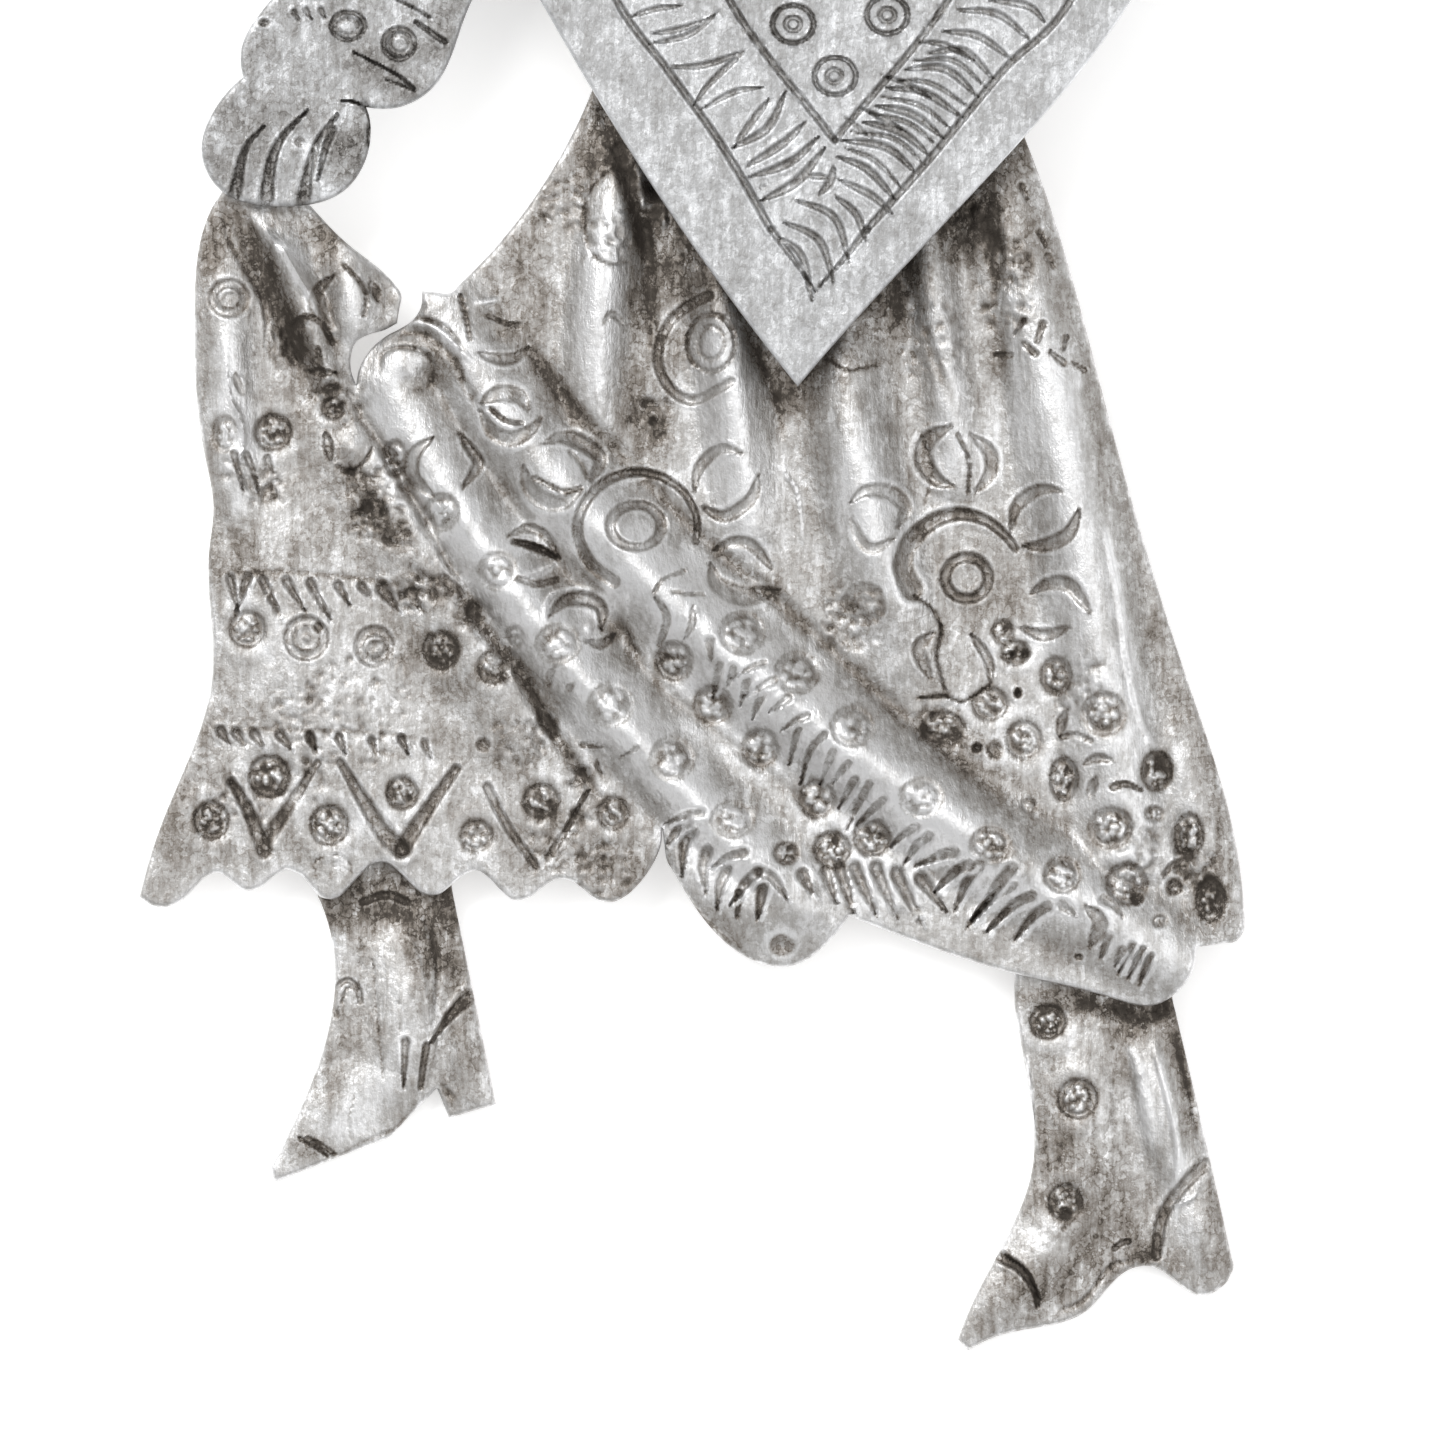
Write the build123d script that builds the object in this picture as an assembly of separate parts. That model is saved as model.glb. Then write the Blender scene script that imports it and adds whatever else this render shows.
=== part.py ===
from build123d import *
from collections import namedtuple
import math
import numpy
import os

# A dancer brooch of chased silver sheet, in millimetres: +X to the right of the figure as it is seen,
# +Y towards its head, +Z out of its front. It is drawn flat, then laid down on its pin and its toes.

# Skirt and bodice, one sheet
skirt_width = 46.5
skirt_length = 41.5
bodice_width = 20.0
bodice_height = 19.7
body_lean = 2.6
waist_across = 0.613
dress_sheet = 0.7
fold_height = 1.9

# Shawl, a plain plate with a pointed front
shawl_width = 32.8
shawl_height = 36.4
collar_rise = 1.3
shawl_sheet = 0.7

# Arms, flat plates
arm_width = 6.9
arm_sheet = 0.7
raised_arm_width = 10.2
raised_arm_height = 22.5

# Boots
left_boot_width = 9.5
left_boot_height = 15.2
right_boot_width = 11.6
right_boot_height = 17.9
boot_sheet = 0.7
boot_relief = 0.6

# Head and neck, one sheet
head_width = 8.0
head_height = 16.5
neck_lap = 2.1
head_sheet = 0.7
face_relief = 1.2
feature_relief = 0.35

# Pin on the back
bar_length = 22.0
bar_width = 3.5
bar_thickness = 0.7
stem_diameter = 0.9
stem_drop = 2.2
knuckle_diameter = 2.6
knuckle_length = 3.2
catch_length = 1.6
catch_wall = 0.5
catch_clearance = 0.3
stem_overhang = 1.2
leg_width = 1.6

# Chased marks and the space between one sheet and the next
gap = 0.1
mark_depth = 0.15
line_width = 0.32
ring_diameter = 1.9
small_ring_diameter = 1.45
finger_line_width = 0.6

# How closely the relief follows its folds and its border
dress_step = 1.1
boot_step = 0.8
head_step = 0.6
border_share = 0.62
clear_share = 0.55
row_share = 0.87
wobble = 0.01
far_away = 1000.0
crest_chords = 8
blend_power = 4
sample_step = 0.5

# One row is one fold: where its crest starts, passes and ends, as shares of a width and a height,
# how high it stands at those places, as shares of a relief, and how far it reaches to the left
# (west) and to the right (east), as shares of the same width. Crests run from the top down.
Fold = namedtuple("Fold", "start_u start_v mid_u mid_v end_u end_v start_rise mid_rise end_rise west east")

# Outline rows: corner or smooth, share of the width from the left, share of the height from the bottom
skirt_hem_and_right = [
    ("corner", 0.000, 0.112),
    ("smooth", 0.010, 0.104),
    ("smooth", 0.033, 0.105),
    ("smooth", 0.071, 0.137),
    ("smooth", 0.099, 0.118),
    ("smooth", 0.135, 0.141),
    ("smooth", 0.170, 0.109),
    ("smooth", 0.218, 0.148),
    ("smooth", 0.265, 0.113),
    ("smooth", 0.304, 0.139),
    ("smooth", 0.342, 0.108),
    ("smooth", 0.382, 0.131),
    ("smooth", 0.420, 0.107),
    ("smooth", 0.458, 0.134),
    ("corner", 0.473, 0.182),
    ("corner", 0.477, 0.150),
    ("smooth", 0.514, 0.085),
    ("smooth", 0.557, 0.047),
    ("smooth", 0.590, 0.042),
    ("smooth", 0.611, 0.054),
    ("corner", 0.642, 0.093),
    ("smooth", 0.790, 0.035),
    ("smooth", 0.882, 0.009),
    ("smooth", 0.916, 0.002),
    ("smooth", 0.935, 0.012),
    ("corner", 0.956, 0.061),
    ("corner", 0.992, 0.067),
    ("corner", 1.000, 0.080),
    ("smooth", 0.987, 0.193),
    ("smooth", 0.950, 0.326),
    ("smooth", 0.877, 0.599),
    ("smooth", 0.834, 0.777),
    ("corner", 0.802, 0.879),
    ("corner", 0.765, 1.000),
]
skirt_left = [
    ("corner", 0.462, 1.000),
    ("corner", 0.411, 0.933),
    ("smooth", 0.317, 0.764),
    ("corner", 0.281, 0.724),
    ("corner", 0.256, 0.726),
    ("smooth", 0.243, 0.693),
    ("smooth", 0.222, 0.680),
    ("smooth", 0.205, 0.661),
    ("corner", 0.196, 0.631),
    ("smooth", 0.191, 0.656),
    ("smooth", 0.197, 0.676),
    ("smooth", 0.216, 0.685),
    ("corner", 0.233, 0.694),
    ("corner", 0.237, 0.722),
    ("smooth", 0.231, 0.733),
    ("smooth", 0.192, 0.771),
    ("smooth", 0.155, 0.813),
    ("smooth", 0.105, 0.853),
    ("smooth", 0.074, 0.826),
    ("smooth", 0.050, 0.716),
    ("smooth", 0.060, 0.555),
    ("smooth", 0.067, 0.507),
    ("smooth", 0.063, 0.463),
    ("smooth", 0.066, 0.336),
    ("smooth", 0.026, 0.203),
]

# Right half of the bodice, from the waist up, as shares of half its width and of its height
bodice_side = [
    ("smooth", 0.56, 0.16),
    ("smooth", 0.72, 0.50),
    ("smooth", 0.93, 0.66),
    ("smooth", 0.98, 0.84),
    ("smooth", 0.70, 0.95),
    ("corner", 0.27, 1.00),
]

# Shares of shawl_width and shawl_height
shawl_outline = [
    ("corner", 0.442, 0.000),
    ("smooth", 0.740, 0.296),
    ("smooth", 0.869, 0.446),
    ("smooth", 0.959, 0.596),
    ("smooth", 1.000, 0.706),
    ("smooth", 0.946, 0.792),
    ("corner", 0.779, 0.919),
    ("corner", 0.636, 1.000),
    ("smooth", 0.546, 0.931),
    ("corner", 0.456, 1.000),
    ("corner", 0.273, 0.908),
    ("smooth", 0.062, 0.781),
    ("smooth", 0.000, 0.694),
    ("smooth", 0.036, 0.573),
    ("smooth", 0.112, 0.446),
    ("smooth", 0.177, 0.345),
]
shawl_neck_u = 0.546

# Shares of arm_width to the right of the line from the hand to the shoulder, and of its length
holding_arm_outline = [
    ("corner", -0.556, 0.124),
    ("smooth", -0.677, 0.158),
    ("smooth", -0.702, 0.230),
    ("smooth", -0.786, 0.552),
    ("smooth", -0.507, 0.833),
    ("corner", -0.269, 0.990),
    ("corner", 0.329, 1.003),
    ("smooth", 0.211, 0.799),
    ("smooth", 0.190, 0.577),
    ("corner", 0.285, 0.391),
    ("corner", 0.394, 0.251),
    ("smooth", 0.320, 0.219),
    ("corner", 0.153, 0.191),
    ("smooth", 0.295, 0.158),
    ("smooth", 0.340, 0.076),
    ("smooth", 0.211, 0.035),
    ("smooth", 0.005, 0.001),
    ("smooth", -0.217, -0.017),
    ("smooth", -0.475, 0.006),
    ("smooth", -0.577, 0.062),
]

# Shares of raised_arm_width and raised_arm_height
raised_arm_outline = [
    ("corner", 0.000, 0.469),
    ("corner", 0.082, 0.290),
    ("smooth", 0.370, 0.056),
    ("smooth", 0.658, 0.000),
    ("smooth", 0.844, 0.156),
    ("smooth", 0.914, 0.469),
    ("corner", 1.000, 0.703),
    ("smooth", 0.926, 0.759),
    ("corner", 0.790, 0.754),
    ("smooth", 0.885, 0.848),
    ("smooth", 0.856, 0.938),
    ("smooth", 0.700, 1.000),
    ("smooth", 0.494, 0.971),
    ("smooth", 0.432, 0.871),
    ("corner", 0.502, 0.770),
    ("smooth", 0.370, 0.759),
    ("corner", 0.280, 0.714),
    ("smooth", 0.432, 0.469),
    ("corner", 0.453, 0.346),
]

# Shares of each boot's width and height
left_boot_outline = [
    ("corner", 0.018, 0.000),
    ("corner", 0.527, 0.124),
    ("corner", 0.739, 0.260),
    ("corner", 0.792, 0.177),
    ("corner", 1.000, 0.215),
    ("corner", 0.810, 0.796),
    ("corner", 0.757, 1.000),
    ("corner", 0.181, 1.000),
    ("corner", 0.208, 0.798),
    ("smooth", 0.270, 0.456),
    ("smooth", 0.168, 0.251),
    ("corner", 0.004, 0.039),
]
right_boot_outline = [
    ("corner", 0.036, 0.000),
    ("smooth", 0.185, 0.042),
    ("smooth", 0.467, 0.094),
    ("smooth", 0.627, 0.192),
    ("smooth", 0.703, 0.197),
    ("smooth", 0.841, 0.138),
    ("corner", 0.978, 0.164),
    ("corner", 1.000, 0.195),
    ("smooth", 0.917, 0.439),
    ("corner", 0.779, 0.824),
    ("corner", 0.750, 1.000),
    ("corner", 0.196, 1.000),
    ("corner", 0.207, 0.805),
    ("smooth", 0.254, 0.627),
    ("smooth", 0.272, 0.437),
    ("smooth", 0.109, 0.183),
    ("corner", 0.000, 0.026),
]

# Shares of head_width and head_height: neck, chin, side bun, crown
head_outline = [
    ("corner", 0.740, 0.000),
    ("smooth", 0.680, 0.130),
    ("smooth", 0.690, 0.270),
    ("smooth", 0.800, 0.370),
    ("smooth", 0.947, 0.536),
    ("smooth", 0.989, 0.765),
    ("smooth", 0.826, 0.931),
    ("smooth", 0.500, 1.000),
    ("smooth", 0.195, 0.944),
    ("smooth", 0.011, 0.765),
    ("corner", 0.042, 0.561),
    ("smooth", -0.042, 0.446),
    ("smooth", 0.050, 0.335),
    ("smooth", 0.200, 0.265),
    ("smooth", 0.210, 0.130),
    ("corner", 0.150, 0.000),
]

# Folds of the skirt, in shares of skirt_width, skirt_length and fold_height
skirt_folds = [
    Fold(0.231, 0.630, 0.367, 0.380, 0.598, 0.103, 0.35, 0.85, 0.45, 0.042, 0.051),
    Fold(0.272, 0.704, 0.521, 0.372, 0.946, 0.043, 0.45, 1.00, 0.45, 0.054, 0.058),
    Fold(0.439, 0.868, 0.419, 0.726, 0.410, 0.585, 0.30, 0.65, 0.25, 0.040, 0.038),
    Fold(0.512, 0.838, 0.530, 0.676, 0.551, 0.493, 0.30, 0.70, 0.30, 0.040, 0.040),
    Fold(0.638, 0.686, 0.654, 0.534, 0.693, 0.362, 0.40, 0.80, 0.25, 0.052, 0.051),
    Fold(0.711, 0.777, 0.729, 0.656, 0.741, 0.534, 0.30, 0.42, 0.15, 0.031, 0.031),
    Fold(0.778, 0.848, 0.849, 0.493, 0.894, 0.159, 0.30, 0.80, 0.45, 0.056, 0.054),
    Fold(0.941, 0.271, 0.964, 0.179, 0.979, 0.088, 0.10, 0.20, 0.10, 0.036, 0.033),
    Fold(0.075, 0.770, 0.080, 0.666, 0.090, 0.493, 0.05, 0.38, 0.12, 0.030, 0.031),
    Fold(0.115, 0.790, 0.142, 0.732, 0.177, 0.605, 0.08, 0.48, 0.15, 0.027, 0.027),
    Fold(0.184, 0.755, 0.193, 0.716, 0.186, 0.671, 0.25, 0.42, 0.20, 0.031, 0.036),
    Fold(0.186, 0.585, 0.263, 0.443, 0.344, 0.291, 0.15, 0.30, 0.20, 0.060, 0.036),
    Fold(0.127, 0.453, 0.164, 0.331, 0.227, 0.179, 0.10, 0.20, 0.10, 0.099, 0.099),
    Fold(0.222, 0.623, 0.243, 0.664, 0.278, 0.643, 0.20, 0.40, 0.20, 0.030, 0.030),
    Fold(0.498, 0.169, 0.557, 0.103, 0.652, 0.108, 0.15, 0.35, 0.10, 0.052, 0.040),
]

# The bodice's swell, in shares of bodice_width, bodice_height and the room under the shawl
bodice_folds = [
    Fold(0.00, 0.72, 0.00, 0.46, 0.00, 0.20, 0.80, 1.00, 0.70, 0.30, 0.30),
]

# Shares of each boot's width and height, and of boot_relief
left_boot_folds = [
    Fold(0.56, 0.75, 0.63, 0.54, 0.60, 0.30, 0.0, 1.0, 0.5, 0.27, 0.23),
    Fold(0.81, 0.54, 0.85, 0.42, 0.87, 0.25, 0.0, 0.5, 0.3, 0.12, 0.12),
    Fold(0.56, 0.30, 0.31, 0.20, 0.10, 0.05, 0.3, 0.5, 0.1, 0.18, 0.15),
]
right_boot_folds = [
    Fold(0.42, 0.80, 0.48, 0.61, 0.44, 0.33, 0.0, 0.8, 0.4, 0.20, 0.19),
    Fold(0.66, 0.80, 0.73, 0.59, 0.82, 0.38, 0.0, 1.0, 0.4, 0.13, 0.14),
    Fold(0.42, 0.35, 0.30, 0.20, 0.10, 0.05, 0.4, 0.6, 0.1, 0.16, 0.14),
    Fold(0.86, 0.37, 0.89, 0.27, 0.88, 0.18, 0.4, 0.7, 0.3, 0.13, 0.12),
]

# Face and hair in shares of head_width, head_height and face_relief
head_forms = [
    Fold(0.50, 0.74, 0.50, 0.62, 0.50, 0.48, 0.95, 1.00, 0.85, 0.44, 0.44),
    Fold(0.50, 0.93, 0.12, 0.86, 0.09, 0.60, 0.70, 0.75, 0.55, 0.20, 0.20),
    Fold(0.50, 0.93, 0.88, 0.86, 0.91, 0.60, 0.70, 0.75, 0.50, 0.20, 0.20),
    Fold(0.09, 0.46, 0.10, 0.43, 0.11, 0.40, 0.65, 0.75, 0.65, 0.26, 0.26),
    Fold(0.44, 0.32, 0.44, 0.23, 0.44, 0.14, 0.45, 0.35, 0.00, 0.26, 0.26),
]

# Brows, nose, lips and chin in shares of head_width, head_height and feature_relief
face_features = [
    Fold(0.50, 0.710, 0.50, 0.660, 0.50, 0.605, 0.25, 0.60, 1.00, 0.11, 0.11),
    Fold(0.22, 0.705, 0.33, 0.725, 0.45, 0.715, 0.25, 0.50, 0.30, 0.10, 0.10),
    Fold(0.55, 0.715, 0.67, 0.725, 0.78, 0.705, 0.30, 0.50, 0.25, 0.10, 0.10),
    Fold(0.25, 0.675, 0.33, 0.678, 0.41, 0.675, 0.35, 0.50, 0.35, 0.09, 0.09),
    Fold(0.59, 0.675, 0.67, 0.678, 0.75, 0.675, 0.35, 0.50, 0.35, 0.09, 0.09),
    Fold(0.38, 0.535, 0.50, 0.540, 0.62, 0.535, 0.20, 0.60, 0.20, 0.10, 0.10),
    Fold(0.50, 0.470, 0.50, 0.460, 0.50, 0.450, 0.50, 0.60, 0.50, 0.16, 0.16),
]

# Where things lie on the skirt: shares of skirt_width and skirt_length
lifted_corner = (0.111, 0.813)
left_boot_top = (0.118, 0.189)
right_boot_top = (0.741, 0.083)
toe_share = (0.018, 0.000)
right_toe_share = (0.036, 0.000)

# Where things lie on the bodice: shares of half its width from its leaning middle, and of its height
holding_shoulder = (-0.708, 0.872)
raised_shoulder = (0.55, 0.62)
pin_height = 0.52

# Chased lines on the shawl: shares of its width and height, from end to point to end
shawl_lines = [
    [(0.105, 0.640), (0.310, 0.334), (0.460, 0.100), (0.652, 0.299), (0.800, 0.450), (0.905, 0.660)],
    [(0.270, 0.640), (0.355, 0.446), (0.491, 0.283), (0.636, 0.446), (0.745, 0.640)],
]
shawl_rings = [
    (0.492, 0.359),
    (0.436, 0.418),
    (0.556, 0.429),
    (0.385, 0.490),
    (0.500, 0.492),
    (0.615, 0.500),
]

# Lines on the arms: from, to, and the width at the far end as a share of the width at the near one
holding_fingers = [
    ((-0.388, 0.092), (-0.346, -0.002), 0.5),
    ((-0.188, 0.140), (-0.156, 0.000), 0.5),
    ((-0.026, 0.152), (0.100, 0.033), 0.5),
]
holding_cuff = ((0.034, 0.244), (0.345, 0.230))
holding_rings = [(0.075, 0.277), (0.300, 0.290)]
raised_fingers = [
    ((0.580, 0.850), (0.540, 0.965), 0.5),
    ((0.660, 0.850), (0.660, 0.985), 0.5),
    ((0.740, 0.850), (0.780, 0.970), 0.5),
]
raised_cuff = ((0.400, 0.650), (0.900, 0.640))
raised_rings = [(0.560, 0.560), (0.740, 0.550)]


def through(first, middle, last, along):
    """The value of a smooth curve that passes middle halfway between first and last."""
    return (
        first * (1 - along) * (1 - 2 * along)
        + middle * 4 * along * (1 - along)
        + last * along * (2 * along - 1)
    )


def on_skirt(across, up):
    return across * skirt_width, up * skirt_length


def on_bodice(across, up):
    middle = waist_across * skirt_width + body_lean * up
    return middle + across * bodice_width / 2, skirt_length + up * bodice_height


def box_place(left, bottom, width, height):
    """A function that turns shares of a width and a height into a place."""
    return lambda across, up: (left + across * width, bottom + up * height)


def hung_place(top_share, width, height):
    """The same for a boot, whose top left corner lies on the skirt."""
    left, top = on_skirt(*top_share)
    return box_place(left, top - height, width, height)


on_left_boot = hung_place(left_boot_top, left_boot_width, left_boot_height)
on_right_boot = hung_place(right_boot_top, right_boot_width, right_boot_height)
neck_x, neck_y = on_bodice(0, 1)
on_shawl = box_place(
    neck_x - shawl_neck_u * shawl_width, neck_y + collar_rise - shawl_height, shawl_width, shawl_height
)
on_head = box_place(neck_x - 0.44 * head_width, neck_y - neck_lap, head_width, head_height)
shoulder_x, shoulder_y = on_bodice(*raised_shoulder)
on_raised_arm = box_place(
    shoulder_x, shoulder_y - raised_arm_height / 3, raised_arm_width, raised_arm_height
)


def on_holding_arm(across, along):
    """A place beside the line from the lifted corner of the skirt to the shoulder."""
    hand, shoulder = Vector(*on_skirt(*lifted_corner)), Vector(*on_bodice(*holding_shoulder))
    line = shoulder - hand
    side = Vector(line.Y, -line.X).normalized()
    place = hand + line * along + side * across * arm_width
    return place.X, place.Y


def placed(rows, place):
    """Outline rows with their shares turned into places."""
    return [(kind, place(across, up)) for kind, across, up in rows]


def outline_edges(rows):
    """The edges of an outline: straight between two corners, a curve through smooth rows."""
    edges, run = [], [rows[0][1]]
    for kind, point in rows[1:] + rows[:1]:
        run.append(point)
        if kind == "corner":
            edges.append(Line(*run) if len(run) == 2 else Spline(*run))
            run = run[-1:]
    return edges


def border_points(edges, spacing):
    """Points along an outline, none further apart than the spacing."""
    points = []
    for edge in edges:
        count = math.ceil(edge.length / spacing)
        points += [((edge @ (i / count)).X, (edge @ (i / count)).Y) for i in range(count)]
    return points


def is_inside(border, x, y):
    inside = False
    for (ax, ay), (bx, by) in zip(border, border[1:] + border[:1]):
        if (ay > y) != (by > y) and x < (bx - ax) * (y - ay) / (by - ay) + ax:
            inside = not inside
    return inside


def crest_lines(folds, place, relief, width):
    """Each fold as the points and rises of its crest, and its two reaches."""
    lines = []
    for fold in folds:
        points = []
        for chord in range(crest_chords + 1):
            along = chord / crest_chords
            x, y = place(
                through(fold.start_u, fold.mid_u, fold.end_u, along),
                through(fold.start_v, fold.mid_v, fold.end_v, along),
            )
            points.append((x, y, relief * through(fold.start_rise, fold.mid_rise, fold.end_rise, along)))
        lines.append((points, fold.west * width, fold.east * width))
    return lines


def fold_at(line, x, y):
    """How high one fold stands at a place: a cosine hump on each side of its crest."""
    points, west, east = line
    nearest, rise, reach = math.inf, 0, 1
    for (ax, ay, start_rise), (bx, by, end_rise) in zip(points, points[1:]):
        dx, dy = bx - ax, by - ay
        along = ((x - ax) * dx + (y - ay) * dy) / (dx * dx + dy * dy)
        along = min(1, max(0, along))
        off_x, off_y = x - ax - along * dx, y - ay - along * dy
        distance = math.hypot(off_x, off_y)
        if distance < nearest:
            nearest, rise = distance, start_rise + along * (end_rise - start_rise)
            reach = east if dx * off_y > dy * off_x else west
    return rise * math.cos(math.pi / 2 * nearest / reach) ** 2 if nearest < reach else 0


def height_of(lines):
    """A function of a place: the folds together, the highest one leading smoothly."""
    def height(x, y):
        total = sum(max(0, fold_at(line, x, y)) ** blend_power for line in lines)
        return total ** (1 / blend_power)
    return height


def steps(low, high, step):
    count = math.ceil((high - low) / step)
    return [low + (high - low) * i / count for i in range(count + 1)]


def box_of(border):
    across, up = zip(*border)
    return min(across), max(across), min(up), max(up)


def highest_under(edges, height):
    """The greatest height below a plate, sampled inside its outline and a facet's width round it."""
    border = border_points(edges, sample_step)
    left, right, bottom, top = box_of(border)
    highest = 0
    for x in steps(left - dress_step, right + dress_step, sample_step):
        for y in steps(bottom - dress_step, top + dress_step, sample_step):
            beside = min(math.hypot(x - a, y - b) for a, b in border) < dress_step
            if beside or is_inside(border, x, y):
                highest = max(highest, height(x, y))
    return highest


class Triangles:
    """A Delaunay triangulation that grows one point at a time."""

    def __init__(self):
        self.points = [(-far_away, -far_away), (far_away, -far_away), (0, far_away)]
        self.corners = numpy.array([(0, 1, 2)])
        self.circles = self.circles_of(self.corners)

    def circles_of(self, corners):
        """Middle and squared radius of the circle through each triangle's corners."""
        first, second, third = (numpy.array([self.points[i] for i in column]) for column in corners.T)
        second, third = second - first, third - first
        double_area = 2 * (second[:, 0] * third[:, 1] - second[:, 1] * third[:, 0])
        second_square, third_square = (second**2).sum(axis=1), (third**2).sum(axis=1)
        x = (third[:, 1] * second_square - second[:, 1] * third_square) / double_area
        y = (second[:, 0] * third_square - third[:, 0] * second_square) / double_area
        return numpy.stack((first[:, 0] + x, first[:, 1] + y, x * x + y * y), axis=1)

    def add(self, point):
        """Put in a point: triangles whose circle holds it give way to a fan round it."""
        self.points.append(point)
        new = len(self.points) - 1
        hit = ((self.circles[:, :2] - point) ** 2).sum(axis=1) < self.circles[:, 2]
        open_edges = self.edges_of(self.corners[hit])
        fan = numpy.array([(a, b, new) for a, b in sorted(open_edges) if (b, a) not in open_edges])
        self.corners = numpy.concatenate((self.corners[~hit], fan))
        self.circles = numpy.concatenate((self.circles[~hit], self.circles_of(fan)))
        return new

    def edges_of(self, corners):
        return {(a, b) for corner in corners.tolist() for a, b in zip(corner, corner[1:] + corner[:1])}


def staggered_points(border, step):
    """Rows of points inside a border and clear of it, wobbled so that no four share a circle."""
    left, right, bottom, top = box_of(border)
    points = []
    for row, y in enumerate(steps(bottom, top, step * row_share)):
        for x in steps(left - step * (row % 2) / 2, right, step):
            clearance = min(math.hypot(x - a, y - b) for a, b in border)
            if clearance > clear_share * step and is_inside(border, x, y):
                points.append((x + wobble * math.sin(7 * x + 3 * y), y + wobble * math.cos(5 * x - 4 * y)))
    return points


def triangles_inside(border, step):
    """Points, ring of border points and triangles that fill a border counted leftwards round."""
    mesh = Triangles()
    ring = [mesh.add(point) for point in border]
    for point in staggered_points(border, step):
        mesh.add(point)
    missing = [0]
    while missing:
        edges = mesh.edges_of(mesh.corners)
        missing = [i for i in range(len(ring)) if (ring[i - 1], ring[i]) not in edges]
        for i in reversed(missing):
            (ax, ay), (bx, by) = mesh.points[ring[i - 1]], mesh.points[ring[i]]
            ring.insert(i, mesh.add(((ax + bx) / 2, (ay + by) / 2)))
    kept = []
    for corner in mesh.corners.tolist():
        x, y = numpy.mean([mesh.points[i] for i in corner], axis=0)
        if is_inside(border, x, y):
            kept.append(corner)
    return mesh.points, ring, kept


def chased_sheet(edges, height, step, back, thickness):
    """A sheet of even thickness inside an outline, pushed out from behind by height(x, y)."""
    points, ring, triangles = triangles_inside(border_points(edges, step * border_share), step)
    behind = [Vector(x, y, back + height(x, y)) for x, y in points]
    front = [point + Vector(0, 0, thickness) for point in behind]
    faces = []
    for a, b, c in triangles:
        faces.append(Face(Wire.make_polygon([front[a], front[b], front[c]])))
        faces.append(Face(Wire.make_polygon([behind[a], behind[c], behind[b]])))
    for a, b in zip(ring, ring[1:] + ring[:1]):
        faces.append(Face(Wire.make_polygon([behind[a], behind[b], front[b], front[a]])))
    return Solid(Shell(faces))


def plate(edges, back, thickness):
    return Pos(0, 0, back) * extrude(make_face(edges), amount=thickness)


def line_cut(start, end, front, width, end_share=1):
    """A shallow groove in a plate's front face, which may narrow towards its end."""
    first, last = Vector(*start), Vector(*end)
    side = (last - first).rotate(Axis.Z, 90).normalized() * width / 2
    corners = [first + side, first - side, last - side * end_share, last + side * end_share]
    return Pos(0, 0, front - mark_depth) * extrude(make_face(Polyline(*corners, close=True)), amount=1)


def ring_cut(centre, front, diameter):
    """A stamped ring: a round groove with its middle left standing."""
    outer = Circle(diameter / 2)
    ring = outer - Circle(diameter / 2 - line_width)
    return Pos(*centre, front - mark_depth) * extrude(ring, amount=1)


def make_dress(back):
    return chased_sheet(dress_edges, dress_height, dress_step, back, dress_sheet)


def make_shawl(back):
    front = back + shawl_sheet
    solid = plate(shawl_edges, back, shawl_sheet)
    for line in shawl_lines:
        ends = [on_shawl(*share) for share in line]
        for start, end in zip(ends, ends[1:]):
            solid -= line_cut(start, end, front, line_width)
    for share in shawl_rings:
        solid -= ring_cut(on_shawl(*share), front, ring_diameter)
    return solid.solid()


def make_arm(edges, place, back, fingers, cuff, rings):
    """A flat arm with chased fingers, a line at its cuff and two rings on its sleeve."""
    front = back + arm_sheet
    solid = plate(edges, back, arm_sheet)
    for start, end, end_share in fingers:
        solid -= line_cut(place(*start), place(*end), front, finger_line_width, end_share)
    solid -= line_cut(place(*cuff[0]), place(*cuff[1]), front, line_width)
    for share in rings:
        solid -= ring_cut(place(*share), front, small_ring_diameter)
    return solid.solid()


def make_boot(edges, place, folds, width):
    height = height_of(crest_lines(folds, place, boot_relief, width))
    return chased_sheet(edges, height, boot_step, 0, boot_sheet)


def make_head(back):
    forms = height_of(crest_lines(head_forms, on_head, face_relief, head_width))
    features = height_of(crest_lines(face_features, on_head, feature_relief, head_width))

    def height(x, y):
        return forms(x, y) + features(x, y)

    return chased_sheet(head_edges, height, head_step, back, head_sheet)


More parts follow.
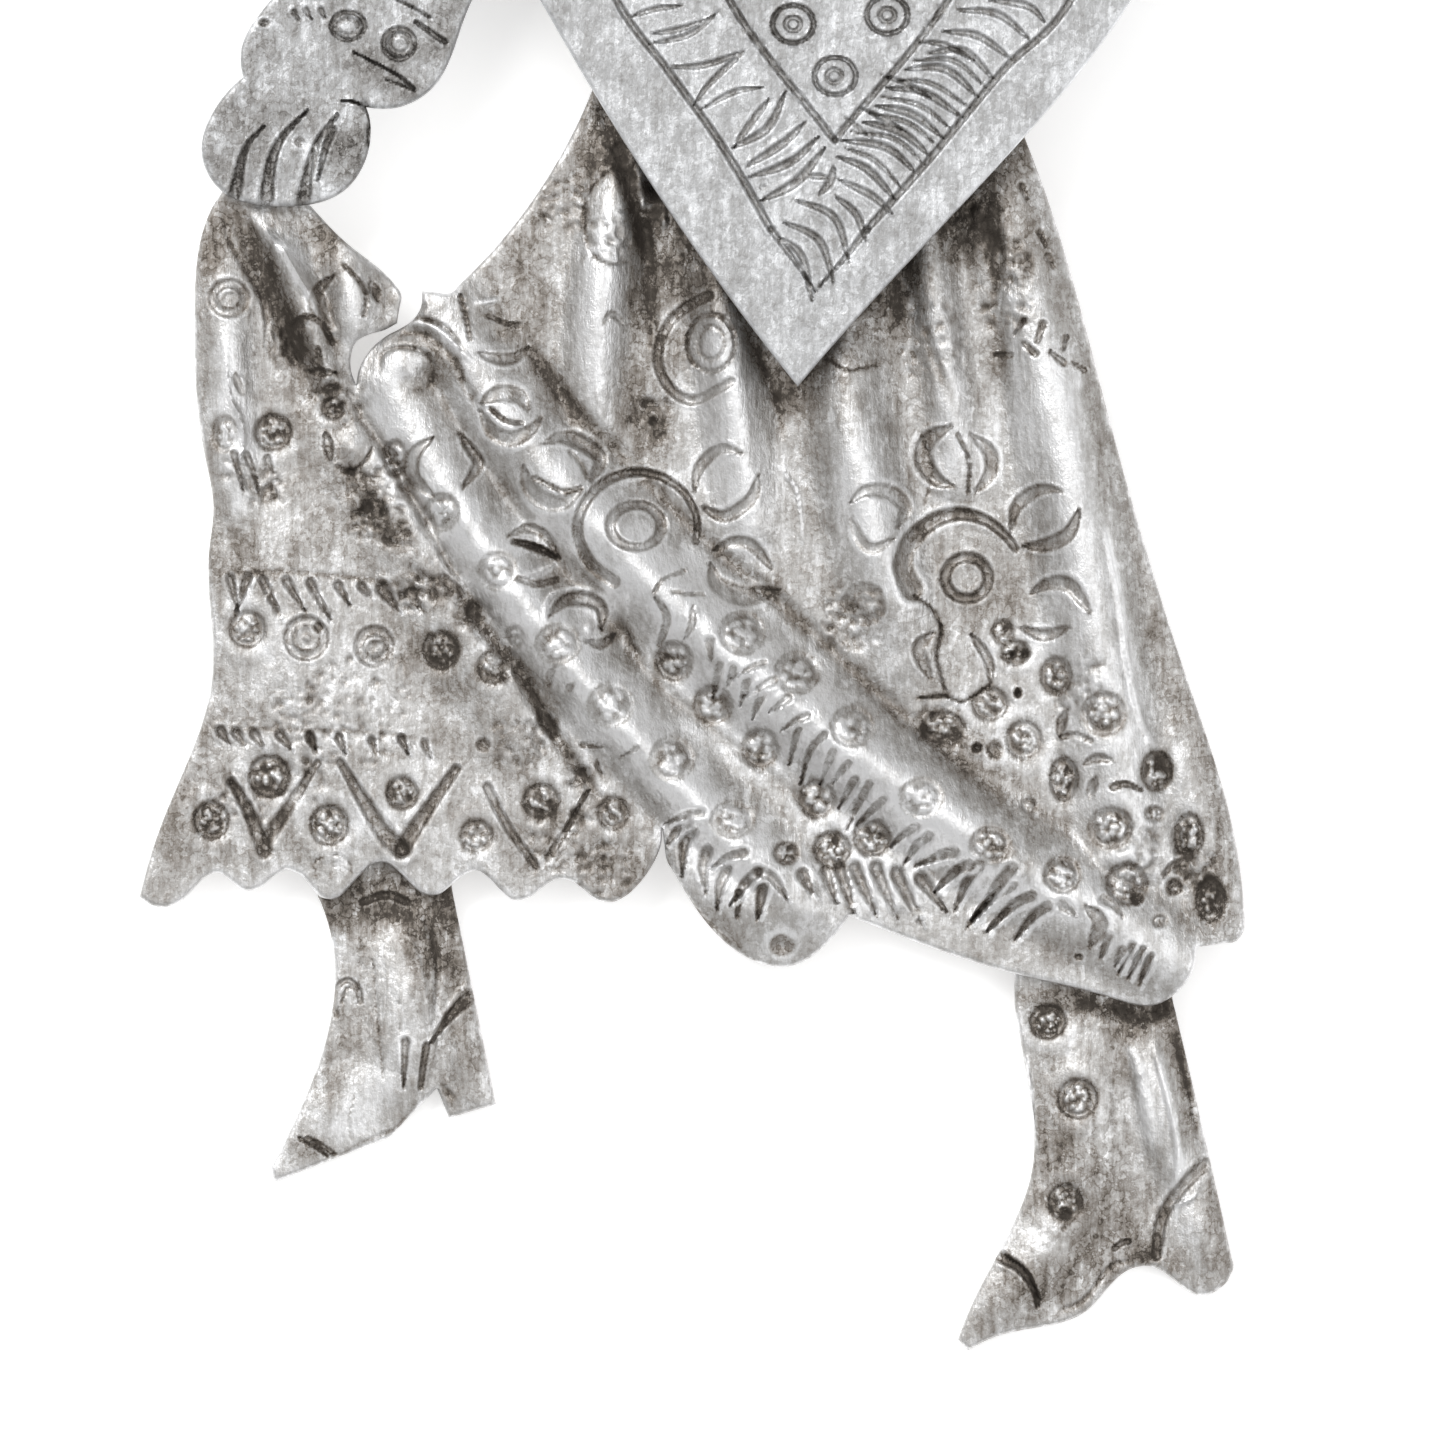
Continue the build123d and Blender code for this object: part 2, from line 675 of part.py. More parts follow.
def make_pin(front):
    """Bar, knuckle, stem and catch in one piece, with the stem standing off the bar."""
    middle_x, middle_y = on_bodice(0, pin_height)
    back = front - bar_thickness
    stem_z = back - stem_drop
    knuckle_x = middle_x - bar_length / 2 + knuckle_length / 2
    catch_x = middle_x + bar_length / 2 - catch_length / 2
    tip_x = catch_x + catch_length / 2 + stem_overhang
    along_x = Rotation(0, 90, 0)

    bar = Pos(middle_x, middle_y, front - bar_thickness / 2) * Box(bar_length, bar_width, bar_thickness)
    knuckle = Pos(knuckle_x, middle_y, stem_z) * along_x * Cylinder(knuckle_diameter / 2, knuckle_length)
    knuckle += Pos(knuckle_x, middle_y, stem_z) * Box(
        knuckle_length, knuckle_diameter, back - stem_z, align=(Align.CENTER, Align.CENTER, Align.MIN)
    )
    stem = Pos((knuckle_x + tip_x) / 2, middle_y, stem_z) * along_x * Cylinder(
        stem_diameter / 2, tip_x - knuckle_x
    )

    hollow_radius = stem_diameter / 2 + catch_clearance
    catch_radius = hollow_radius + catch_wall
    catch = Pos(catch_x, middle_y, stem_z) * along_x * Cylinder(catch_radius, catch_length)
    leg = Pos(catch_x, middle_y + catch_radius, stem_z) * Box(
        catch_length, leg_width, back - stem_z, align=(Align.CENTER, Align.MAX, Align.MIN)
    )
    hollow = Pos(catch_x, middle_y, stem_z) * along_x * Cylinder(hollow_radius, catch_length + gap)
    mouth = Pos(catch_x, middle_y, stem_z) * Box(
        catch_length + gap, 2 * catch_radius, hollow_radius, align=(Align.CENTER, Align.MAX, Align.MIN)
    )
    return (bar + knuckle + stem + (catch + leg - hollow - mouth)).solid()


# Flat outlines; the bodice's left side mirrors its right one
bodice_rows = bodice_side + [(kind, -across, up) for kind, across, up in reversed(bodice_side)]
dress_edges = outline_edges(
    placed(skirt_hem_and_right, on_skirt) + placed(bodice_rows, on_bodice) + placed(skirt_left, on_skirt)
)
shawl_edges = outline_edges(placed(shawl_outline, on_shawl))
holding_arm_edges = outline_edges(placed(holding_arm_outline, on_holding_arm))
raised_arm_edges = outline_edges(placed(raised_arm_outline, on_raised_arm))
left_boot_edges = outline_edges(placed(left_boot_outline, on_left_boot))
right_boot_edges = outline_edges(placed(right_boot_outline, on_right_boot))
head_edges = outline_edges(placed(head_outline, on_head))

# Relief of the dress: the bodice swells as far as the arms beside it lift the shawl
dress_height = height_of(
    crest_lines(skirt_folds, on_skirt, fold_height, skirt_width)
    + crest_lines(bodice_folds, on_bodice, arm_sheet + gap, bodice_width)
)

# Levels: boots at the back, then the dress, the arms and the head, and the shawl over them
dress_back = boot_sheet + gap
dress_front = dress_back + dress_sheet
holding_arm_back = dress_front + highest_under(holding_arm_edges, dress_height) + gap
raised_arm_back = dress_front + highest_under(raised_arm_edges, dress_height) + gap
head_back = dress_front + highest_under(head_edges, dress_height) + gap
shawl_back = gap + max(
    dress_front + highest_under(shawl_edges, dress_height),
    holding_arm_back + arm_sheet,
    raised_arm_back + arm_sheet,
    head_back + head_sheet,
)
bar_front = dress_back - gap

solids = {
    "dress": make_dress(dress_back),
    "shawl": make_shawl(shawl_back),
    "holding_arm": make_arm(
        holding_arm_edges, on_holding_arm, holding_arm_back, holding_fingers, holding_cuff, holding_rings
    ),
    "raised_arm": make_arm(
        raised_arm_edges, on_raised_arm, raised_arm_back, raised_fingers, raised_cuff, raised_rings
    ),
    "left_boot": make_boot(left_boot_edges, on_left_boot, left_boot_folds, left_boot_width),
    "right_boot": make_boot(right_boot_edges, on_right_boot, right_boot_folds, right_boot_width),
    "head": make_head(head_back),
    "pin": make_pin(bar_front),
}

# It lies on the back of both toes and on the knuckle of its pin
knuckle_foot = Vector(
    on_bodice(0, pin_height)[0] - bar_length / 2,
    on_bodice(0, pin_height)[1],
    bar_front - bar_thickness - stem_drop - knuckle_diameter / 2,
)
left_toe = Vector(*on_left_boot(*toe_share), 0)
right_toe = Vector(*on_right_boot(*right_toe_share), 0)
up_from_table = (right_toe - left_toe).cross(knuckle_foot - left_toe).normalized()
across_table = Vector(1, 0, 0) - up_from_table * up_from_table.X
table = Plane(origin=left_toe, x_dir=across_table, z_dir=up_from_table)

# The origin is under the middle of the whole brooch
lying = {name: table.location.inverse() * solid for name, solid in solids.items()}
boxes = [solid.bounding_box() for solid in lying.values()]
middle_x = (min(box.min.X for box in boxes) + max(box.max.X for box in boxes)) / 2
middle_y = (min(box.min.Y for box in boxes) + max(box.max.Y for box in boxes)) / 2
to_origin = Pos(-middle_x, -middle_y, -min(box.min.Z for box in boxes))

os.makedirs("parts", exist_ok=True)
for name, solid in lying.items():
    placed = to_origin * solid
    export_step(placed, f"parts/{name}.step")
    print(name, round(placed.volume, 2), placed.bounding_box())
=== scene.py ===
import math

import bpy
import numpy as np
from mathutils import Matrix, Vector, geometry, kdtree


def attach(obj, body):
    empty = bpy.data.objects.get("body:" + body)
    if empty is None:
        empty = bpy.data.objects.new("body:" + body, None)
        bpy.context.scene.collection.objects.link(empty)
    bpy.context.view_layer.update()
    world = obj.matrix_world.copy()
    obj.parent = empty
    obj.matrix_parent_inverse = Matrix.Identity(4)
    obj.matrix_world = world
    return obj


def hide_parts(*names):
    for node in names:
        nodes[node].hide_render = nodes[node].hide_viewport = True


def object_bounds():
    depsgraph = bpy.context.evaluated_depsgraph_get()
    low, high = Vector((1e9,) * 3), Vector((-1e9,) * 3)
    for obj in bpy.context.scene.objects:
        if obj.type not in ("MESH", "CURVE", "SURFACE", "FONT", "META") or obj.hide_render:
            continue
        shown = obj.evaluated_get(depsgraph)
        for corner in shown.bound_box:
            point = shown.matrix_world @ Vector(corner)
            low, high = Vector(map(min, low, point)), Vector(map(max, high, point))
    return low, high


# Everything flat is drawn in pixels of the 1445 pixel view, x to the right and y down, with heights in
# the same pixels out of the front of the brooch. The frame's own flat plates say where that plane lies.

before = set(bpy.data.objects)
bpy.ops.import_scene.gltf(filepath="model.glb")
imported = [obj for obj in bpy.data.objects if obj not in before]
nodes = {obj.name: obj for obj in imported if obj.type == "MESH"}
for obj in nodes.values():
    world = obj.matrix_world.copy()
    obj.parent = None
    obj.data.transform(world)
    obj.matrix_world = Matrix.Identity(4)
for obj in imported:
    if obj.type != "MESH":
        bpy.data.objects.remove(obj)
cad_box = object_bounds()

VIEW = 1445
SKIRT_WEST, SKIRT_EAST = 139, 1245
SHAWL_POINT_Y = 387
AIM_HEIGHT = 15
SAME_FACING, BACK_FACING = 0.99, -0.3

# How close the mesh's points are: on borders, over marks, elsewhere, on the backs
BORDER_STEP = 3.0
FINE_STEP = 2.1
DRESS_STEP = 2.5
COARSE_STEP = 6.0
BACK_STEP = 18.0
CELL = 4.0
STROKE_REACH, DISC_REACH = 1.4, 1.25
WIDE_SOFT = 8

# Rims and big forms
CORNER_TURN = math.radians(52)
SHARP_ANGLE = math.radians(62)
EDGE_ROUND = 4.5
RIM_RINGS = (0.22, 0.6, 1.1)
RIM_CLEAR, RING_CLEAR = 1.3, 0.85
FOLD_POWER = 4
PLATE_CLEAR = 2
NO_LIMIT = 100.0
WAVES, WAVE_HEIGHT, WAVE_LENGTHS, WAVE_STARTS = 24, 0.06, (22, 80), (0, 7)

# Marks: metal left under the deepest, their lip, dark edge and floor, and how strokes narrow
FLOOR_OF_MARKS = 6.0
LIP, LIP_WIDTH = 0.22, 0.8
EDGE_LINE, EDGE_PLACE = 1.6, 0.92
FLOOR_WALL = 0.3
NARROWEST = 0.8
STROKE_ENDS = (0.02, 0.98)
LEAF_GAP = 0.12
LENS_POWER, SOFT_POWER, THORN_POWER = 0.55, 0.4, 1.6
THORN_DEPTH, THORN_DARK = 1.3, 1.2
# A raised ridge beside each thorn, with a painted highlight on it
RIDGE_SHIFT, RIDGE_WALL, RIDGE_RISE, RIDGE_PAINTED_HIGHLIGHT = 3.6, 0.6, 0.4, 0.6
BAND_HALVES = {"ring": 5.5, "circle": 2.6}
HEART, HEART_WALL, HEART_DEPTH, HEART_DARK = 0.76, 0.35, 0.1, 0.6
GRAINS, GRAIN_SPREAD, GRAIN_SIZES = 20, 0.6, (0.1, 0.22)
GRAIN_RISE, GRAIN_CLEAN, GRAIN_BRIGHT = 1.1, 1.1, 0.3
STIPPLE_SEED, STIPPLE_DEPTH, STIPPLE_DARK = 100, 1.8, 0.2
STIPPLE_RANGE = (-0.9, -0.9, 1.8), (0.9, 0.9, 4.2)

# How marks look: width of the wall, a painted highlight on the lip, tones of the floor and of the edge
PLAIN = (0.5, 0.24, 0.4, 0.42)
GROOVE = (0.6, 0.12, 0.62, 0.08)
RING = (0.5, 0.12, 0.4, 0.42)
LOOKS = {
    "leaf": GROOVE, "groove": GROOVE, "thorn": (0.7, 0.15, 0.62, 0.12),
    "ring": RING, "circle": RING, "rosette": (0.25, 0.12, 0.4, 0.42), "dot": (0.8, 0.24, 0.4, 0.42),
}

# Tarnish and tones of the silver, a painted highlight along the rims, and painted shadow on the dress around
# the plates over it
BRIGHTEST_TONE = 0.2
DARKEST = 0.75
ARM_TONE = 0.16
DRESS_TONE = 0.05
SHAWL_TONE = 0.03
BOOT_TONE = 0.12
RIM_PAINTED_HIGHLIGHT = 0.22
BACK_TARNISH = 0.3
SHADOW_REACH, SHADOW_DARK = 26.0, 0.45
HOLLOW_TARNISH = 0.035
HOLLOW_PITCH, HOLLOW_SPREAD, HOLLOW_CELLS, HOLLOW_MARGIN = 6.0, 4, 10, 30


def mesh_arrays(name):
    """A CAD node's corner places, its triangles and their normals times twice their areas."""
    mesh = nodes[name].data
    mesh.calc_loop_triangles()
    points = np.array([vertex.co for vertex in mesh.vertices], float)
    triangles = np.array([triangle.vertices[:] for triangle in mesh.loop_triangles])
    first, second, third = (points[triangles[:, k]] for k in range(3))
    return points, triangles, np.cross(second - first, third - first)


def plate_normal(name):
    """The direction that a plate's flat front faces."""
    crosses = mesh_arrays(name)[2]
    units = crosses / np.linalg.norm(crosses, axis=1)[:, None]
    normal = np.array((0.0, 0.0, 1.0))
    for _ in range(3):
        total = crosses[units @ normal > SAME_FACING].sum(axis=0)
        normal = total / np.linalg.norm(total)
    return normal


OUT = plate_normal("shawl")
RIGHT = np.array((OUT[2], 0.0, -OUT[0])) / math.hypot(OUT[0], OUT[2])
UP = np.cross(OUT, RIGHT)
skirt_u = mesh_arrays("dress")[0] @ RIGHT
PIXEL = (skirt_u.max() - skirt_u.min()) / (SKIRT_EAST - SKIRT_WEST)
LEFT_U = skirt_u.min() - SKIRT_WEST * PIXEL
TOP_V = (mesh_arrays("shawl")[0] @ UP).min() + SHAWL_POINT_Y * PIXEL


def to_pixels(points):
    """Row-frame places as pixels across, down and out."""
    return np.stack(
        ((points @ RIGHT - LEFT_U) / PIXEL, (TOP_V - points @ UP) / PIXEL, points @ OUT / PIXEL), axis=1
    )


def to_world(flat, out):
    across, down = LEFT_U + flat[:, 0] * PIXEL, TOP_V - flat[:, 1] * PIXEL
    return np.outer(across, RIGHT) + np.outer(down, UP) + np.outer(out * PIXEL, OUT)


def outline_of(name):
    """The border of a node's back, as a loop of pixel places that runs anticlockwise as it is seen."""
    points, triangles, crosses = mesh_arrays(name)
    facing_back = crosses @ OUT < BACK_FACING * np.linalg.norm(crosses, axis=1)
    places, index = np.unique(points.round(8), axis=0, return_inverse=True)
    triangles = index.reshape(-1)[triangles[facing_back]]
    edges = {(a, b) for t in triangles.tolist() for a, b in zip(t, t[1:] + t[:1])}
    following = {a: b for a, b in edges if (b, a) not in edges}
    loops = []
    while following:
        start, at = next(iter(following.items()))
        loop = [start]
        del following[start]
        while at != start and at in following:
            loop.append(at)
            at = following.pop(at)
        loops.append(loop)
    longest = max(loops, key=lambda loop: np.linalg.norm(np.diff(places[loop], axis=0), axis=1).sum())
    flat = to_pixels(places[longest])[:, :2]
    area = np.sum(flat[:, 0] * np.roll(flat[:, 1], -1) - flat[:, 1] * np.roll(flat[:, 0], -1))
    return flat if area > 0 else flat[::-1]


def smooth_loop(loop, step):
    """The loop with curves between its points, sharp only where it turns sharply."""
    ahead = np.roll(loop, -1, axis=0) - loop
    length = np.linalg.norm(ahead, axis=1)
    ahead = ahead / length[:, None]
    behind, behind_length = np.roll(ahead, 1, axis=0), np.roll(length, 1)
    corner = (ahead * behind).sum(axis=1) < math.cos(CORNER_TURN)
    tangent = ahead * behind_length[:, None] + behind * length[:, None]
    tangent = tangent / np.linalg.norm(tangent, axis=1)[:, None]
    leaving = np.where(corner[:, None], ahead, tangent)
    arriving = np.where(corner[:, None], behind, tangent)
    places = []
    for i in range(len(loop)):
        j = (i + 1) % len(loop)
        count = max(1, round(length[i] / step))
        s = (np.arange(count) / count)[:, None]
        places.append(
            (2 * s**3 - 3 * s**2 + 1) * loop[i]
            + (s**3 - 2 * s**2 + s) * length[i] * leaving[i]
            + (3 * s**2 - 2 * s**3) * loop[j]
            + (s**3 - s**2) * length[i] * arriving[j]
        )
    return np.concatenate(places)


def is_inside(loop, points):
    inside = np.zeros(len(points), bool)
    for (ax, ay), (bx, by) in zip(loop, np.roll(loop, -1, axis=0)):
        if ay == by:
            continue
        crossed = (points[:, 1] < ay) != (points[:, 1] < by)
        inside ^= crossed & (points[:, 0] < ax + (points[:, 1] - ay) * (bx - ax) / (by - ay))
    return inside


def distance_to_loop(loop, points):
    tree = kdtree.KDTree(len(loop))
    for i, (x, y) in enumerate(loop):
        tree.insert((x, y, 0), i)
    tree.balance()
    nearest = np.array([tree.find((x, y, 0))[1] for x, y in points])
    best = np.full(len(points), np.inf)
    for shift in (-1, 0):
        a, b = loop[(nearest + shift) % len(loop)], loop[(nearest + shift + 1) % len(loop)]
        along = np.clip(((points - a) * (b - a)).sum(axis=1) / ((b - a) ** 2).sum(axis=1), 0, 1)
        best = np.minimum(best, np.linalg.norm(points - a - along[:, None] * (b - a), axis=1))
    return best


def curve_through(points, pieces=8):
    """A smooth open line through a few points."""
    points = np.array(points, float).reshape(-1, 2)
    if len(points) == 2:
        share = np.linspace(0, 1, 3)[:, None]
        return points[0] * (1 - share) + points[1] * share
    ends = np.concatenate((2 * points[:1] - points[1:2], points, 2 * points[-1:] - points[-2:-1]))
    share = (np.arange(pieces) / pieces)[:, None]
    made = []
    for a, b, c, d in zip(ends, ends[1:], ends[2:], ends[3:]):
        made.append(
            0.5 * (2 * b + (c - a) * share + (2 * a - 5 * b + 4 * c - d) * share**2)
            + 0.5 * (3 * b - a - 3 * c + d) * share**3
        )
    return np.concatenate(made + [points[-1:]])


def beside_line(points, line):
    """Distance from a line, share of its length reached, and which side: 1 to the right going along."""
    lengths = np.linalg.norm(np.diff(line, axis=0), axis=1)
    starts = np.concatenate(((0.0,), lengths.cumsum()))
    best, reached, side = np.full(len(points), np.inf), np.zeros(len(points)), np.ones(len(points))
    for i, (a, b) in enumerate(zip(line, line[1:])):
        step = b - a
        along = np.clip((points - a) @ step / (step @ step), 0, 1)
        off = points - a - along[:, None] * step
        distance = np.hypot(off[:, 0], off[:, 1])
        closer = distance < best
        best = np.where(closer, distance, best)
        reached = np.where(closer, (starts[i] + along * lengths[i]) / starts[-1], reached)
        side = np.where(closer, np.sign(step[0] * off[:, 1] - step[1] * off[:, 0]), side)
    return best, reached, side


def through(first, middle, last, along):
    """The curve through three values, at 0, 0.5 and 1."""
    ends = first * (1 - along) * (1 - 2 * along) + last * along * (2 * along - 1)
    return ends + middle * 4 * along * (1 - along)


def fold_heights(points, folds):
    """The big folds together: cosine humps on crests, the highest one leading smoothly."""
    total = np.zeros(len(points))
    for x0, y0, x1, y1, x2, y2, r0, r1, r2, west, east in folds:
        along = np.linspace(0, 1, 13)
        line = np.stack((through(x0, x1, x2, along), through(y0, y1, y2, along)), axis=1)
        reach = max(west, east)
        near = np.flatnonzero(
            ((points > line.min(axis=0) - reach) & (points < line.max(axis=0) + reach)).all(axis=1)
        )
        if not len(near):
            continue
        distance, share, side = beside_line(points[near], line)
        width = np.where(side > 0, west, east)
        hump = np.cos(math.pi / 2 * np.minimum(distance / width, 1)) ** 2 * through(r0, r1, r2, share)
        total[near] += np.maximum(hump, 0) ** FOLD_POWER
    return total ** (1 / FOLD_POWER)


def rows(text):
    """Lines of words, numbers turned into numbers; what leads a line is repeated at each slash."""
    made = []
    for line in text.strip().splitlines():
        start, *runs = line.split("/")
        for run in runs or [""]:
            words = f"{start} {run}".split()
            made.append([word if word[0].isalpha() else float(word) for word in words])
    return made


# Crest x, y at start, middle and end, its rise there, and how far it reaches west and east
SKIRT_FOLDS = rows("""
395 385 545 632 800 905 16 38 20 46 56
440 312 715 640 1185 965 20 45 20 60 64
625 150 602 290 592 430 14 29 11 44 42
705 180 725 340 748 520 14 32 14 44 44
845 330 862 480 905 650 18 36 11 58 56
925 240 945 360 958 480 14 19 7 34 34
1000 170 1078 520 1128 850 14 36 20 62 60
1180 740 1205 830 1222 920 5 9 5 40 36
222 247 228 350 238 520 2 17 5 33 34
266 227 296 285 335 410 4 22 7 30 30
342 262 352 300 345 345 11 19 9 34 40
345 430 430 570 520 720 7 14 9 66 40
280 560 320 680 390 830 5 9 5 110 110
385 392 408 352 446 372 9 18 9 33 33
690 840 755 905 860 900 7 16 5 58 44
""")
LEFT_BOOT_FOLDS = rows("""
395 912 412 985 405 1075 0 14 7 62 52
452 985 460 1030 466 1090 0 7 4 24 26
395 1075 340 1110 292 1165 3 4 1 46 40
""")
RIGHT_BOOT_FOLDS = rows("""
1075 1012 1090 1090 1080 1210 0 11 6 54 52
1140 1012 1160 1100 1185 1190 0 14 6 36 40
1075 1200 1040 1265 985 1330 6 9 2 44 40
1195 1195 1205 1235 1200 1275 6 10 4 36 34
""")


# The head in hundredths of its box: crest places, rises, reaches
FACE_MIDDLE = 52.6
HEAD_FORMS = rows("""
52.6 74 52.6 62 52.6 48 27 28.6 24 84 84
52.6 93 15.7 86 12.8 60 20 21.5 15.7 38 38
52.6 93 89.4 86 92.3 60 20 21.5 14.3 38 38
12.8 46 13.8 43 14.7 40 18.6 21.5 18.6 50 50
46.8 32 46.8 23 46.8 14 12.9 10 0 50 50
""")
FACE_FORMS = rows("""
52.6 71 52.6 66 52.6 60.5 2 5 8.3 13 13
25.4 70.6 36 72.4 47.2 71.4 2.5 4 2.5 9 9
79.8 70.6 69.2 72.4 58 71.4 2.5 4 2.5 9 9
29 67.6 36 67.9 43 67.6 2.5 4.5 2.5 10 10
76.2 67.6 69.2 67.9 62.2 67.6 2.5 4.5 2.5 10 10
43 54.6 52.6 55.2 62 54.6 1.5 4 1.5 7 7
44 52.8 52.6 52.2 61 52.8 1.5 4.5 1.5 8 8
52.6 47 52.6 46 52.6 45 4 5 4 28 28
""")
# Marks of the face, the hair and the raised arm, in hundredths of their node's box
HALF_FACE = rows("""
cut 1 1 2 0.8 27.5 67.2 31.5 68.6 36 69.1 40.5 68.6 44.5 67
cut 0.8 0.8 1.4 0.5 28.5 67 36 66.2 43.5 66.9
cut 1 0.8 1.2 0.4 27.5 69 36 70.4 45 69.2
lens 2.4 2.4 1.2 0.45 25.5 71.4 36 73.6 47.5 72
cut 1 0.8 1.6 0.5 47.6 61.4 46.4 60 48.6 59.2
cut 1.6 1 1.6 0.6 49.4 59.3 51.4 58.9
""")
FACE_LINES = rows("""
cut 1.2 1.2 2.2 0.9 43.2 53.9 48 53.5 52.6 53.8 57.2 53.5 62 53.9
cut 0.8 0.8 1 0.4 43.6 54.4 49.6 56.2 52.6 55.8 55.6 56.2 61.6 54.4
soft 4 4 1.6 0.3 47.5 50.4 52.6 49.9 57.7 50.4
cut 2 2 3 0.9 52.6 99 52.6 94 52.6 88
cut 1.6 1.6 2.6 0.8/52.6 88 35 85 22 74 18 60/52.6 88 70.2 85 83.2 74 87.2 60
cut 1.6 1.4 2.4 0.7/2 52 10 50 20 50 26 46/1 48 10 46 18 45 24 41/1 43 8 41 16 40 21 37/4 38 10 37 16 35
soft 5 5 3 0.5 28 44 40 38.5 52.6 37 66 38.5 78 44
cut 2 2 3 0.8 24 20 46 15 70 20
cut 1.2 1.2 2 0.6 23 17 46 12 71 17
""")
RAISED_LINES = rows("""
cut 6 2 4 0.7/58 84 56 91 54 96.5/66 84 66 92 66 98.5/74 84 76 91 78 97
cut 3 3 4 0.9 38 66 65 67 92 65
cut 1.5 1.5 2.5 0.7 39 63.5 65 64.5 92 62.5
cut 2.4 2.4 3 0.7 46 49 56 46 64 50 74 46 82 49 90 46
cut 1.4 1.4 3 0.6 47 46 56 43 64 47 74 43 82 46 89 43
leaf 3.4 3.4 3 0.55/50 40 48 35 51 30/57 38 55 35 58 30/64 40 62 35 65 30/71 38 69 35 72 30
leaf 3.4 3.4 3 0.55/78 40 76 35 79 30/85 38 83 35 86 30
""")
RAISED_DISCS = rows("""
ring/56 56 18 16 3.5 0.7/74 55 18 16 3.5 0.7
""")
HALF_FACE_DISCS = rows("""
ring/36 67.8 4.4 4.4 1.2 0.6/19.5 56 7 7 2.4 0.7
""")
